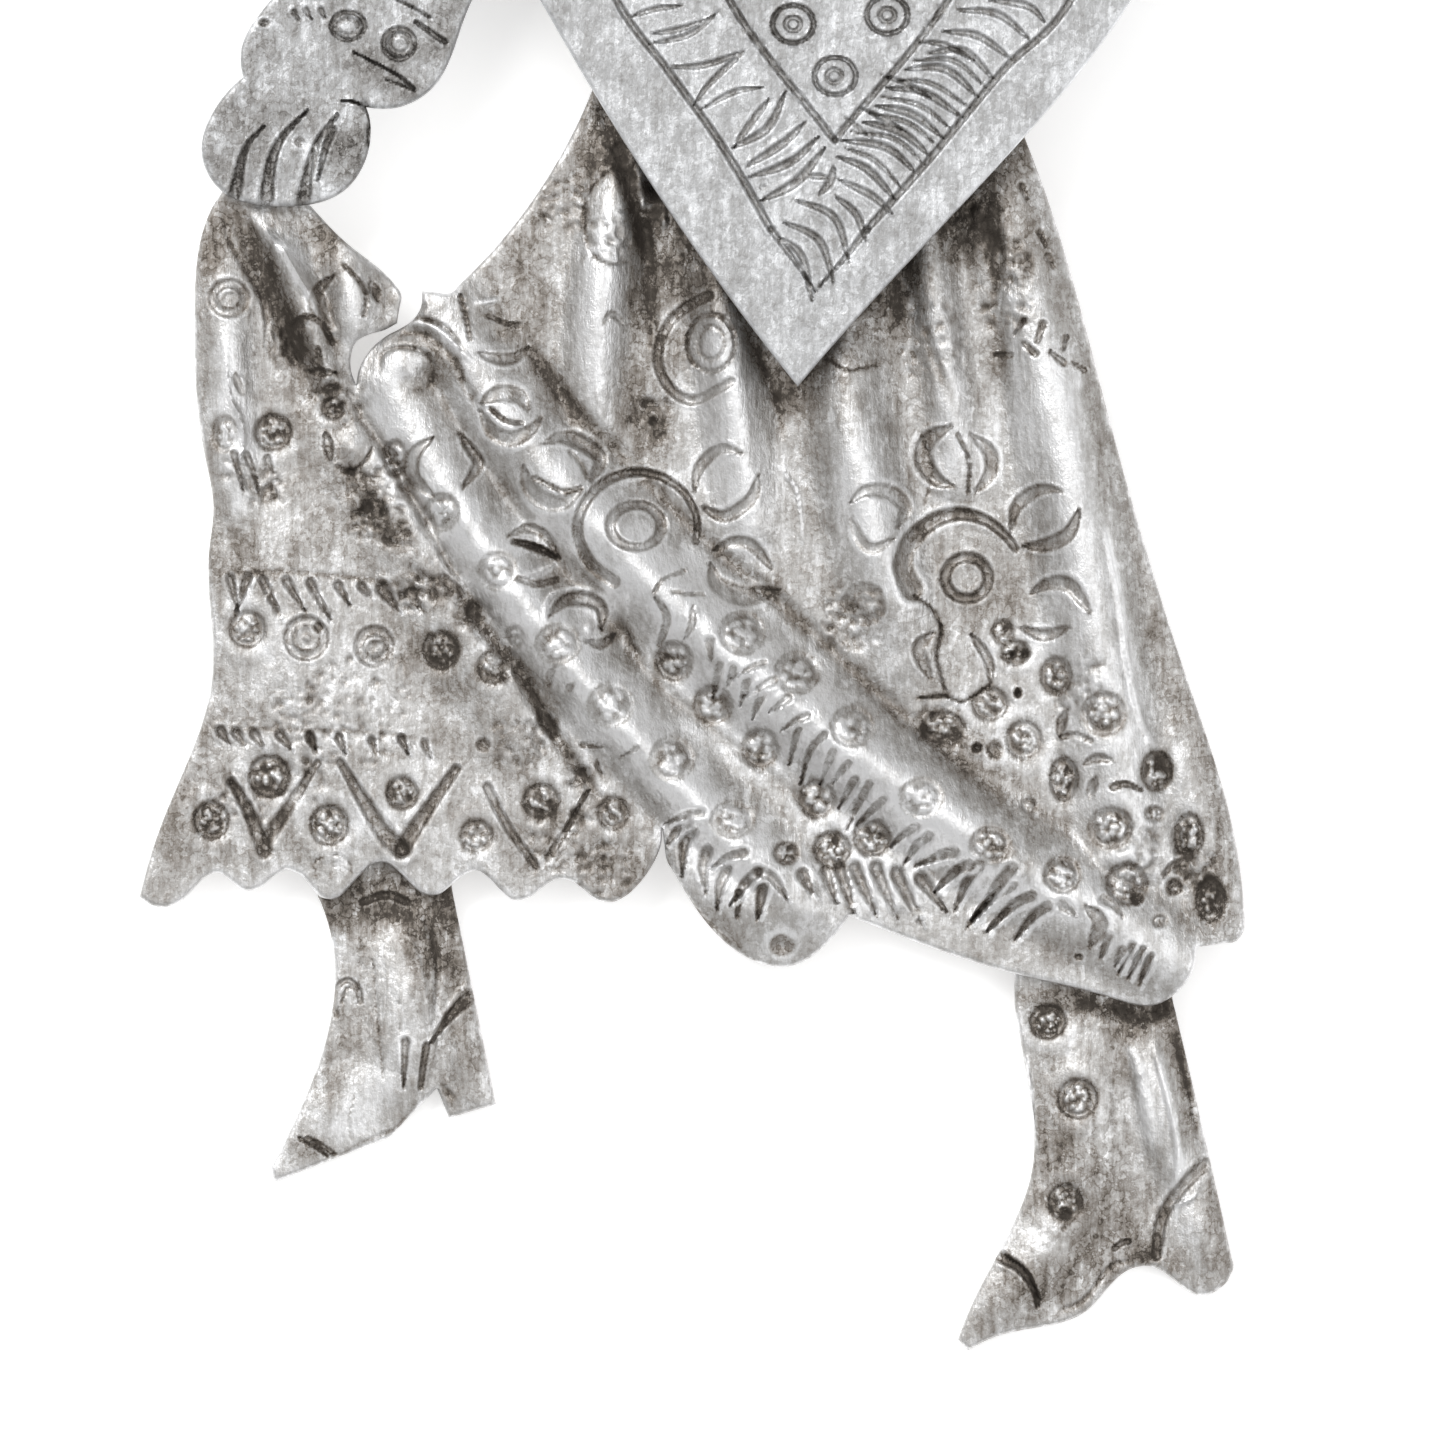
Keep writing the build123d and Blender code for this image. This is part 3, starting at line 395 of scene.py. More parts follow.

# Skirt: kind, half width at its start and end, depth, darkness, then the places it runs through. Darkness is
# tarnish in cuts and marks; soft rows also carry painted shade, such as the shadow of a roll over the flap,
# and a negative darkness on a raised soft row is a painted highlight
SKIRT_STROKES = rows("""
soft 22 20 8 0.5 238 212 256 250 271 285 285 322 302 355 322 390 338 425
soft 9 6 -9 -0.5 252 214 268 236 286 254 298 275 311 296 319 318 333 331
soft 4 4 3 0.4 222 212 231 245 246 270 260 295 266 320 267 345 278 370
soft 3.5 3.5 -4 -0.5 225 345 227 372 231 398 240 418 244 440 238 470
soft 11 9 6 0.5 345 395 372 432 398 470 425 522 446 565
soft 11 9 8 0.9 438 556 467 601 484 630 514 663 535 700 559 741 580 771 597 796
soft 7 4 -6 -0.5 431 540 443 566 462 587 469 606
soft 13 9 3 0.3 560 490 600 600 640 665 690 712 740 752 800 800 850 850
soft 13 13 5 0.7 527 345 556 385 584 419 620 452
soft 13 13 5 0.45 606 440 660 495 706 541 786 608 878 694 945 752 1000 800
soft 16 10 9 0.8 606 110 622 165 634 205 647 252 650 295 652 340
soft 11 7 6 0.7 746 330 758 355 772 385 780 410 778 436
soft 16 14 4 0.4 990 190 996 290 1003 380 1010 460
soft 9 8 3 0.4 925 330 936 360 950 400
soft 6 5 -6 -0.6 1106 530 1120 600 1128 660 1140 715 1150 742
soft 3 3 -3 -0.5 783 457 786 475 796 488 801 514 803 542
soft 5 5 3 0.5 668 845 672 880 690 905 720 935 755 958
lens 6 6 4 0.6 334 275 319 289 315 306 330 330
cut 2 2.5 3 0.9 344 265 360 282 367 297 364 315
lens 5 5 3 0.8 369 281 375 291 378 302
cut 3 3 4 1.0 288 336 297 321 310 317 323 325 332 343
cut 3 3 3 0.8 288 341 300 360
cut 3 3 3 0.7 318 349 321 369
lens 4 4 4 0.9 306 371 336 373
lens 4 4 3 0.6/242 394 238 384 234 372/604 323 612 314 623 323
cut 4 1 4 0.7/234 454 239 472 243 492/246 454 254 475 259 495
cut 4 1 3 0.6 267 458 274 477
lens 5 5 4 0.9 325 431 328 446 330 461
cut 2 2 3 0.6 337 466 350 471 364 462 372 448
lens 8 8 4 0.7 432 438 414 455 413 477 434 497
lens 5.5 5.5 4 0.8 458 432 472 452 478 465 462 489
soft 4 4 4 0.5 380 372 381 357 391 349 411 348 429 356 432 373 427 387 413 390
soft 4 8 3 0.6 402 334 424 334 441 346 456 362 464 382 480 410
cut 2 2.5 3 0.6 414 316 438 323 452 334 463 351
soft 5 5 -4 -0.4 404 322 430 326 450 340 470 360
cut 2.5 2.5 4 0.6 460 296 465 314 470 339
soft 5 5 -4 -0.6 477 303 499 299
cut 2.5 2.5 3 0.7 488 316 506 323 520 325
lens 6 6 3.5 0.5 477 353 499 359 516 357 529 346
lens 9 9 4 0.6 481 403 499 394 518 396 528 410
cut 2.5 2.5 4 0.9 491 409 506 421 522 423
lens 8 8 4 0.6 480 410 493 432 513 439 531 430 541 417
lens 8 8 4 0.5 543 444 563 437 588 446 600 460 591 482
cut 2.5 2 3 0.8 570 451 580 463 588 478
lens 9 9 4 0.55 524 466 529 487 545 501 563 503 581 491
cut 2.5 2.5 3 1.0 534 478 552 487 565 492 581 488
lens 5 5 3.5 0.6/507 537 527 528 545 535 558 555/971 634 988 659 991 683
lens 4.5 4.5 3.5 0.8 514 541 536 548 556 557
cut 3.5 3 3.5 0.8 514 542 537 547 558 558
cut 3.5 3.5 3.5 0.8 519 579 537 584 556 580
lens 3 3 -3 -0.5 523 576 540 572 556 564
soft 3 3 -4 -0.5 545 620 549 597 571 587 587 591
lens 7 7 5 0.8 549 616 565 601 585 599 601 608 601 630
lens 5 5 4 0.7 585 641 601 644 615 634
lens 4 4 3 0.5/549 686 550 674 556 667/566 691 574 683
cut 3 1 3 0.6/582 745 606 748/637 748 620 757/596 763 604 780
cut 6.5 3 5 0.8 614 582 592 565 579 540 580 515 592 494 612 478 638 472 664 478 686 495 697 520 696 542
lens 6 6 4 0.5 694 492 699 468 720 449 744 454
lens 7 7 4 0.7 702 507 725 516 751 499 758 475
lens 6 6 3 0.5/712 551 733 542 753 546 773 570/851 517 860 539 873 549 894 539
lens 10 10 3.5 0.5 710 564 718 585 744 596 779 590
cut 2.5 2 3 0.6 684 571 664 579 654 592
lens 4.5 4.5 4 0.8 655 596 667 618 658 648
cut 2 2 2.5 0.6 673 592 690 594 703 595
lens 4 4 3.5 0.6 692 605 692 624 684 640
soft 6 6 3 0.6 619 620 634 648 642 657
cut 1.5 1.5 2 0.5/603 175 590 190 584 210 588 245 599 260 614 264 629 262/603 175 618 167 634 178
cut 5 5 4 0.5 709 296 682 310 664 332 658 362 670 388 694 400 731 382
cut 1.5 1.5 2 0.8 829 360 848 370 881 364
cut 1.5 1.5 1.5 0.4 920 430 932 470 924 505
cut 11 3.5 5 0.8 912 590 903 565 912 540 934 521 960 514 985 520 1004 534 1016 549
cut 1.8 1.8 3 0.7 914 596 931 608 940 623 940 638 937 656 942 680 948 697
cut 1.6 1.6 3 0.7 917 698 944 696 964 701 991 684
lens 9 9 4 0.7 951 426 927 441 924 462 937 480 953 486
cut 2 2 3 0.7 957 434 969 460 968 493
lens 7 7 3 0.4 970 434 990 452 990 474 975 493
lens 8 8 4 0.45 851 502 866 491 890 493 905 508 897 528
lens 6.5 6.5 4 0.6 1011 530 1016 508 1029 495 1044 489 1061 491
lens 7.5 7.5 4 0.8 1024 546 1046 545 1068 534 1079 510
lens 7.5 7.5 4 0.6 1031 593 1048 584 1070 586 1090 613
lens 6 6 3.5 0.6 1020 627 1044 635 1070 627
lens 7 7 3.5 0.4 934 632 919 649 931 679
cut 3 2 4 0.8/1024 320 1014 335/1066 337 1063 350
cut 4 3 4 0.9 1043 324 1037 341
cut 2 4 4 0.9/1024 343 1035 354/1050 352 1063 363
cut 2 3 3 0.9 996 354 1011 355
cut 2 3 3 0.8 1072 363 1084 370
cut 4 2 3 0.7/1022 186 1027 200/1040 232 1045 246
cut 4 2 3 0.6 1048 256 1053 268
thorn 5.1 0.8 3.5 0.36/230 578 238 611/248 577 234 616/263 580 281 619/286 580 306 613/310 582 331 621
thorn 5.1 0.8 3.5 0.36 338 585 350 606
thorn 5.1 0.8 4 0.48/361 586 372 598/339 737 345 754
thorn 7.6 0.8 4 0.54 382 588 399 611
cut 6 2 3 0.7 410 594 422 610
thorn 5.6 0.8 4 0.48/220 731 230 744/236 733 245 746/254 734 263 747/280 735 292 750/309 736 317 752
thorn 4.6 0.8 3 0.42 371 739 376 754
thorn 4.6 0.8 4 0.48 401 738 408 754
thorn 4.6 0.8 3 0.3 424 743 431 760
groove 4.5 8.5 4 0.65 231 781 250 815 264 850
groove 3.5 8 3.5 0.5 318 762 296 795 268 838
groove 4 10.5 4.5 0.55 340 762 360 795 380 828 400 850
groove 5 9.5 4.5 0.65 456 769 434 800 415 828 403 848
groove 5 4 3.5 0.35 487 787 507 826 536 866
groove 2 4.5 3.5 0.7 588 790 566 830 548 858
cut 1.2 1.2 1.5 0.4/315 874 314 863 322 857/331 876 334 856 346 860 352 873
thorn 6.1 0.8 3 0.51/710 642 712 663/720 666 713 700/733 670 727 688
thorn 4.6 0.8 3 0.59/764 663 752 667 730 679/807 716 795 721 779 732
thorn 6.1 0.8 3.5 0.51/747 683 740 707/773 681 742 697/762 696 752 720/833 753 820 785/869 785 845 831
thorn 6.1 0.8 3.5 0.51/883 801 856 825/701 813 686 815 664 824/687 823 678 830 665 847
thorn 6.1 0.8 3.5 0.51/744 853 730 856 707 870/916 828 905 834 889 848
thorn 5.6 0.8 3.5 0.51/788 698 767 714/848 764 830 786/855 780 838 809
thorn 5.1 0.8 3.5 0.59/798 730 789 765/824 735 810 752 800 787
thorn 6.6 0.8 4 0.51/692 832 684 846 682 878/763 888 757 922/1012 886 995 897 968 923
thorn 6.6 0.8 4 0.51/1032 896 1013 906 984 934/1049 906 1033 917 1011 944
thorn 7.1 0.8 4 0.51/708 851 703 866 706 895/727 870 720 886 717 911/757 872 745 884 730 906
thorn 7.1 0.8 4 0.51/921 879 930 890 947 913/954 853 940 856 914 866/970 865 955 872 933 894
thorn 7.1 0.8 4 0.51/980 866 968 880 954 911/1011 870 996 888 967 929
thorn 7.1 0.8 4 0.45/760 872 774 880 789 901/803 874 813 895/826 872 837 906
cut 4 2 4 0.9/739 893 737 917/1113 787 1126 784 1141 790
thorn 8.1 0.8 4 0.52/840 870 855 916/855 868 877 917
thorn 8.1 0.8 4 0.48 876 868 898 920
thorn 8.1 0.8 4 0.45 897 874 923 926
thorn 7.1 0.8 3.5 0.51 928 837 918 845 904 864
thorn 7.1 0.8 3.5 0.45 1062 905 1078 917
lens 8 8 4 0.9 1086 906 1100 923 1090 947
cut 5 1.5 3.5 0.6 1103 899 1114 906 1123 917
thorn 4.9 0.8 3 0.5/1122 950 1115 967/1132 946 1118 974/1142 950 1128 979/1150 957 1138 986
thorn 5.6 0.8 3 0.42 1108 938 1099 962
cut 3 3 3 0.6 1062 737 1076 735 1091 741
lens 5 5 3.5 0.7/1083 764 1098 758 1113 761/1089 798 1092 788 1096 777
lens 5 5 3 0.5 1067 710 1062 722 1059 737
cut 5 2 3.5 0.6 1184 862 1172 866 1164 876
soft 5 5 1 0.4 220 572 300 573 370 580 420 590
soft 4 4 1 0.35 206 727 300 730 380 733 436 742
""")

# Kind, place, half its width and height, depth, darkness; a rosette's seed is its row
SKIRT_DISCS = rows("""
ring/229 298 21 20 3.5 0.5/230 300 10 9 2 0.4
dot 332 390 9 8 6 1.1
rosette/333 408 13 12 3.5 0.7/225 434 14 20 3 0.65/273 432 20 20 4 0.9
boss 353 447 17 20 5 -0.1
rosette/395 458 13 20 4 0.75/442 512 19 20 4 0.7
boss 412 369 19 19 7 -0.25
ring 421 307 6 6 2 0.4
boss 495 335 14 14 -3 0.1
rosette 498 571 21 21 3.5 0.65
boss 589 627 8 8 5 -0.3
rosette/558 644 24 22 3.5 0.65/515 637 11 11 2.5 0.4
boss 495 613 8 6 2 -0.4
rosette/611 705 25 24 3.5 0.6/674 661 20 21 4.5 0.9/672 759 24 24 3.5 0.65/493 667 17 18 4 0.75
rosette/441 650 20 21 5 1.0/613 813 17 18 4 0.75
ring 636 526 31 26 4.5 0.6
rosette/742 633 25 24 3.5 0.6/713 705 21 21 3.5 0.75/797 673 24 23 3.5 0.7/760 748 20 21 3.5 0.7
rosette/852 727 24 22 3.5 0.6/921 798 24 22 3.5 0.6/817 799 20 21 3.5 0.65/732 820 24 20 3.5 0.65
rosette/786 853 13 12 3.5 0.8/832 850 20 20 4.5 1.0/872 838 20 20 4.5 1.0/990 845 22 20 3.5 0.75
dot 782 945 12 10 3 0.9
circle/711 343 26 31 3.5 0.6/711 343 15 19 2 0.5
ring 967 578 27 26 4.5 0.6
dot 658 188 14 14 8 1.3
boss/642 206 5 9 5 -0.6/664 221 6 10 5 -0.6
rosette 247 629 20 20 4 0.7
ring/306 638 23 23 3.5 0.45/307 638 13 13 2.5 0.4
dot 318 627 5 5 3 1.0
ring/374 646 20.5 21 3 0.45/377 651 12 11 2.5 0.5
rosette/269 776 22 23 5 1.1/211 820 19 21 4.5 0.9/329 825 21 22 5 1.1/402 793 17 18 4.5 0.8
rosette/476 836 18 18 3.5 0.65/541 801 20 19 4.5 0.8
ring 483 745 7 7 3 0.6
rosette/1062 875 20 20 4.5 0.9/1111 828 24 23 4 0.7/1127 884 23 23 4 0.7
dot 1137 899 6 6 3 1.2
rosette/1104 714 24 24 4 0.75/1157 771 17 22 5 1.1/1189 835 16 24 5 1.0/1064 779 15 24 5 1.1
rosette/1024 740 20 21 3.5 0.65/990 704 20 18 3.5 0.65/1056 676 17 21 3.5 0.75/1211 899 16 24 4.5 1.2
dot 1174 887 8 8 4 1.0
rosette/1154 814 10 8 2.5 0.65/943 727 24 17 3 0.8
dot/1018 693 4 5 7 1.4/977 748 5 5 7 1.4/995 750 8 10 3 0.9
rosette/1029 806 8 8 2.5 0.4/1160 921 8 7 2.5 0.65/1003 632 12 13 3 0.75/1015 652 15 13 2.5 0.65
dot 1079 957 4 3.5 4 1.1
ring 864 604 22 22 1.2 0.25
rosette 851 625 20 22 2 0.35
""")

# Turn in degrees, strength, place, half sizes. Strength is partly tarnish and partly painted shade; a
# negative strength brightens, partly rubbed silver and partly a painted highlight on a crest
SKIRT_PATCHES = rows("""
-25 0.35 278 285 20 60
0 0.25/560 330 50 60/250 850 60 16/300 540 60 40/665 340 14 24/250 575 30 12
0 0.3/600 150 30 60/970 220 24 60/700 250 60 60/240 545 40 26/296 424 20 20/850 400 30 60/1210 930 24 20
0 0.3/530 455 14 12/430 340 30 40/1000 615 40 24
-30 0.4 680 260 26 60
-20 0.35 650 420 26 40
-40 0.35 905 300 40 60
40 0.25 560 780 70 40
0 0.4/630 880 36 26/1211 899 22 30/970 745 30 24
40 0.3 700 920 40 22
40 0.2 920 640 70 30
0 0.2/745 900 40 20/560 840 80 36/775 590 50 30/650 450 20 24/645 320 14 24/212 280 20 70/220 735 20 24
-30 -0.3 300 260 12 20
0 -0.25/585 300 24 70/1060 400 22 30/232 400 8 60/278 520 18 40/598 300 24 90/1065 265 16 30/520 530 20 20
0 -0.25/775 745 30 30/560 800 20 30/740 900 20 12
0 -0.2/740 470 40 60/1075 520 20 60/222 540 8 20/640 560 40 50/335 735 30 16/400 480 20 24/478 470 20 24
0 -0.2 600 610 20 20
0 -0.1/860 480 26 70/226 300 10 60
0 -0.15 1190 790 20 50
45 -0.25/720 600 40 30/560 530 60 24/700 690 60 40
45 -0.2 860 780 50 16
40 -0.3 460 340 30 18
0 -0.3/380 400 12 30/376 412 16 30/1000 425 20 50/985 300 40 50/600 610 24 24/560 335 20 24/240 460 14 70
0 -0.3/690 570 24 24/1045 640 20 60/925 850 24 16/720 890 24 16/575 460 14 14/616 310 12 40/822 782 14 20
30 -0.1 600 800 20 40
0 -0.05 320 700 90 36
-28 0.3 310 350 24 60
0 0.1/330 800 130 60/985 560 40 90
-38 0.08 530 740 50 120
25 0.3 530 240 40 90
20 0.05 580 200 30 60
-10 0.22 640 330 36 90
-15 0.35 1000 220 50 80
-10 0.15 1040 280 40 60
45 -0.15/470 420 50 24/660 740 60 24
-45 -0.12 700 640 30 60
42 -0.15 800 700 110 24
-8 -0.15 1130 640 14 120
-30 0.25 340 470 30 50
-35 0.3 400 540 16 60
-35 -0.35 415 460 24 80
-40 -0.3 450 540 20 60
0 -0.35/700 400 20 70/885 895 30 14
-42 -0.3/500 610 24 70/580 740 30 60
30 -0.3 720 860 50 30
42 -0.2 800 640 70 24
40 -0.1 880 830 50 30
25 -0.1 1000 870 80 20
20 0.35 170 815 40 60
0 0.15/214 530 14 120/240 700 60 30/200 620 20 120
-14 0.35 1195 690 30 110
-12 0.1 1150 520 24 50
-16 0.15 1050 240 16 70
10 0.45 214 232 20 40
30 0.4 315 225 40 24
-30 0.35 450 655 44 60
-8 0.08 1108 500 26 140
0 0.12 1010 800 40 60
-6 0.35 1215 840 20 80
20 -0.3 560 230 18 30
40 -0.2 740 762 40 24
-10 -0.25 1145 430 14 40
-40 0.3 455 372 14 30
0 0.35/330 250 16 24/1018 860 24 24
-40 0.25 742 785 20 34
-8 -0.25 1020 445 12 50
-25 0.3 262 262 16 26
15 -0.25 975 895 40 12
""")

# Middle of a rough place, half its side, number of dents; its seed is its row
SKIRT_STIPPLE = rows("""
262 486 18 40
384 492 26 60
345 405 22 40
330 385 18 30
290 340 20 40
360 710 60 90
300 715 30 40
852 618 34 70
648 418 22 50
940 727 24 50
1015 652 14 24
412 600 14 24
236 470 12 16
640 225 22 40
625 160 24 40
975 225 30 60
1010 260 24 40
560 840 36 60
520 740 30 40
600 870 30 40
240 800 30 40
300 780 24 30
1080 690 30 40
1140 850 24 40
1196 870 22 50
700 250 24 40
560 200 30 50
600 240 24 36
930 340 40 60
360 485 20 44
374 512 16 40
396 536 16 36
440 586 14 30
1005 300 30 50
370 520 20 40
420 580 16 40
466 614 12 30
506 672 12 30
546 728 12 30
578 776 10 24
""")

SHAWL_STROKES = rows("""
groove 3.6 3.6 4 0.5/663 -168 729 0 835 142/835 140 948 1 1034 -168
groove 3.8 3.8 4 0.5 534 -168 616 0 667 70 723 148 771 230
groove 3.8 1.5 3.5 0.42 771 230 795 262 816 293
groove 3.8 3.8 4 0.46 1159 -185 1071 0 1004 70 930 159 867 230
groove 3.8 1.5 3.5 0.38 867 230 845 258 819 287
leaf 3.2 3.2 3 0.42/630 18 655 10 682 7/649 35 680 30 708 20
leaf 3.2 3.2 3 0.38/649 45 690 35 719 12/700 111 734 93 764 88
leaf 3.5 3.5 3 0.42/667 68 704 66 745 52/693 107 712 82 745 52
leaf 4.5 4.5 3.5 0.47/730 150 767 129 786 91/745 168 782 145 806 122
leaf 4 4 3 0.42/734 148 752 122 771 98/782 222 819 241 834 285/778 237 801 256 812 303
leaf 4 4 3 0.42/927 54 964 52 993 80/941 32 978 37 1012 61/956 11 997 15 1030 41/986 0 1027 7 1045 24
leaf 4.5 4.5 3.5 0.51 749 178 790 163 819 137
leaf 5 5 3.5 0.51 760 202 797 182 825 148
leaf 4.5 4.5 3.5 0.59 819 196 830 182 834 166
leaf 3.5 3.5 3 0.51 806 177 820 177 828 179
leaf 4 4 3 0.47/793 200 834 218 849 263/834 196 856 215 866 243/838 180 871 196 893 215
leaf 3 3 3 0.38/859 108 880 118 905 132/880 76 905 84 932 100/916 42 945 46 975 62
leaf 2.5 2.5 2 0.34 842 116 858 128 872 140
""")
# Leaves of the right band; a thinner one stands LEAF_SHIFT to the right of and above each
LEAF_SHIFT = 8.5
SHAWL_BAND = rows("""
leaf 4.2 4.2 3.5 0.51/836 157 867 170 895 200/841 141 886 148 916 174/873 106 912 115 943 139
leaf 4.2 4.2 3.5 0.47/860 122 901 133 930 157/886 89 923 93 962 118/904 70 945 70 978 98
""")
SHAWL_DISCS = rows("""
circle/793 25 23 21 4 0.7/793 25 10 9 3 0.6/887 16 23 21 4 0.6/887 16 10 9 3 0.5/835 77 23 21 4 0.5
circle/834 77 10 9 3 0.5/752 -38 23 21 4 0.7/752 -38 10 9 3 0.6/842 -40 23 21 4 0.7/842 -40 10 9 3 0.6
circle/932 -46 23 21 4 0.7/932 -46 10 9 3 0.6/763 188 4 3 1.5 0.3
""")
HOLDING_STROKES = rows("""
groove 1.5 7 4 0.7 264 126 245 150 235 195
groove 1.5 8 4.5 0.8 308 110 282 138 271 165 266 203
groove 2 8 4 0.75 337 115 316 147 303 203
groove 5 1.5 4 0.6 332 130 325 150 318 181
soft 3 3 -3 -0.4 330 126 316 152 311 190
groove 1.6 1.6 5 0.9 343 101 354 102 366 107
groove 1.5 1.5 4 1.0 365 108 369 121 368 147
groove 1.2 2.2 3.5 0.8 353 52 375 63 399 76 414 89
groove 1.5 1.5 2 0.6 386 80 400 85 414 91
groove 1.6 1.6 3 0.7 397 0 414 8 431 18
groove 2.4 3.4 4 0.8 416 22 430 32 445 42
groove 3.5 1 3 0.5/294 12 300 22/306 10 312 20/321 10 326 20
""")
HOLDING_DISCS = rows("""
circle/348 26 19 16 3 0.6/348 27 13 10 2 0.4/399 44 18 18 3 0.6/400 44 12 12 2 0.4
dot/264 23 6 4 2.5 0.7/300 142 5 5 1.5 0.4
""")
HOLDING_PATCHES = rows("""
0 0.1 290 150 90 60
0 0.12 240 80 40 60
0 0.35 350 150 16 36
35 0.2 372 70 40 16
0 0.25 440 30 16 30
20 -0.1 330 60 60 26
0 -0.15 300 160 30 24
""")
LEFT_BOOT_STROKES = rows("""
cut 3 3 3 0.6 336 1016 333 999 339 985 349 981 358 990 360 1002
cut 1.5 1.5 2 0.5 341 1003 345 991 352 988 357 998
cut 4 4 3 0.9 362 902 386 895 406 902
cut 1 1 1.2 0.5 360 939 358 990
cut 1 1 1.2 0.45/372 959 378 1030 383 1078/398 1002 399 1030
cut 1 1 1.2 0.4 351 1140 348 1120 354 1096
groove 8 1.5 5 0.7 469 997 449 1017 430 1044
groove 5 1.5 4 0.7 405 1042 404 1066 403 1088
groove 4 3 4 0.7 426 1046 423 1066 420 1088
groove 2.5 2 3 0.8 299 1139 314 1147 327 1157
cut 2.2 2.2 3 0.7 307 1138 320 1145 334 1155
soft 6 6 -2 -0.1 404 925 420 970 428 1020 434 1056
soft 3 3 1.5 0.4 341 1154 369 1140 396 1128 416 1102
soft 5 5 3 0.4 440 1085 452 1098
soft 6 5 4 0.3 425 915 437 960 436 1010
""")
# The strong band along the top of the boot is painted shadow under the hem
LEFT_BOOT_PATCHES = rows("""
0 0.45 425 940 30 40
0 0.3/345 925 40 20/390 905 70 20/470 1060 18 40
0 0.75 385 893 90 22
0 0.6/329 912 14 14/442 912 24 14/310 1148 14 12
-10 0.35 455 960 16 60
0 0.08 335 1040 30 30
-6 0.25 420 990 12 46
0 0.18 330 1085 30 16
-20 -0.2 345 1132 26 12
-10 -0.25 392 960 14 60
30 -0.3 370 1090 26 50
0 -0.2 350 950 12 20
""")
# As on the skirt; the wide soft row along the top is painted shadow under the hem, and the raised soft rows
# carry painted highlights
RIGHT_BOOT_STROKES = rows("""
groove 6 3 4.5 0.9 1001 1258 1021 1270 1035 1291 1038 1307
cut 1.5 1 3 0.8 1006 1256 1027 1272 1040 1300
groove 7.5 6 4.5 0.5 1205 1165 1179 1192 1162 1221 1157 1256
cut 3 3 4 0.9 1115 1249 1122 1244 1129 1242
soft 8 9 -6 -0.5 1131 1044 1143 1086 1153 1150
soft 7 8 -6 -0.3 1155 1046 1169 1098 1179 1150 1176 1190
soft 6 5 4 0.8 1176 1035 1188 1085 1200 1142
soft 12 12 5 0.9 1080 1000 1110 1010 1145 1018 1172 1008
cut 1 1 1.2 0.4/1113 1044 1115 1131/1124 1093 1128 1145/1094 1112 1093 1155
soft 3 3 -4 -0.4 1028 1058 1037 1150
soft 3.5 3.5 -4 -0.4 1170 1208 1190 1200 1200 1190
soft 8 8 3 0.5 1146 1256 1150 1262
soft 4 4 3 0.5 1060 1312 1085 1300 1110 1268 1130 1262
""")
RIGHT_BOOT_DISCS = rows("""
rosette/1048 1022 20 19 4.5 1.1/1078 1099 22 22 4.5 0.9/1066 1203 19 20 4 0.9
dot/1064 1229 3 3 2 0.8/1096 1237 3 2 2 0.8/1066 1213 7 6 3 1.1
""")
# The strong band along the top of the boot is painted shadow under the hem
RIGHT_BOOT_PATCHES = rows("""
0 -0.3 1055 1250 20 20
0 -0.25/1135 1130 16 40/1030 1235 16 22
0 -0.2/1185 1210 20 60/1012 1310 16 12
0 0.3/1105 1170 26 30/1185 1105 14 40/1050 1120 20 40
0 0.35/1065 1190 36 60/1215 1210 20 60
-20 0.35 1110 1260 70 36
-30 0.4 1025 1295 40 30
0 0.2 1190 1260 30 30
0 0.9/1110 1000 90 14/1145 1256 9 8
0 0.5/1140 1028 30 14/1185 1040 14 30
0 0.25 1110 1215 30 24
0 -0.15 1190 1240 20 30
""")


def punched(t, wall):
    """1 on the floor of a mark, 0 outside it, with a rounded wall between."""
    share = np.clip((1 - t) / wall, 0, 1)
    return share * share * (3 - 2 * share)


def tapered(share, power):
    """1 at the middle of a stroke and less towards its ends."""
    return np.sin(math.pi * np.clip(share, *STROKE_ENDS)) ** power


class Sheet:
    """Places on one sheet with their height over its level front and how dark they are."""

    def __init__(self, points):
        self.points = points
        self.height = np.zeros(len(points))
        self.dark = np.zeros(len(points))

    def near(self, low, high):
        return np.flatnonzero(((self.points > low) & (self.points < high)).all(axis=1))

    def mark(self, kind, near, t, half, depth, dark):
        """Press a mark whose border is at t = 1: a grey floor, a dark edge and a low lip with a painted
        highlight.
        """
        wall, lip_highlight, floor_tone, edge_tone = LOOKS.get(kind, PLAIN)
        lip = np.sin(math.pi * np.clip(t - 1, 0, LIP_WIDTH) / LIP_WIDTH)
        self.height[near] -= depth * (punched(t, wall) - LIP * lip)
        edge = np.exp(-(((t - EDGE_PLACE) * half / EDGE_LINE) ** 2))
        # Grey floor and dark edge, and a painted highlight on the lip
        self.dark[near] += dark * (floor_tone * punched(t, FLOOR_WALL) + edge_tone * edge) - lip_highlight * lip


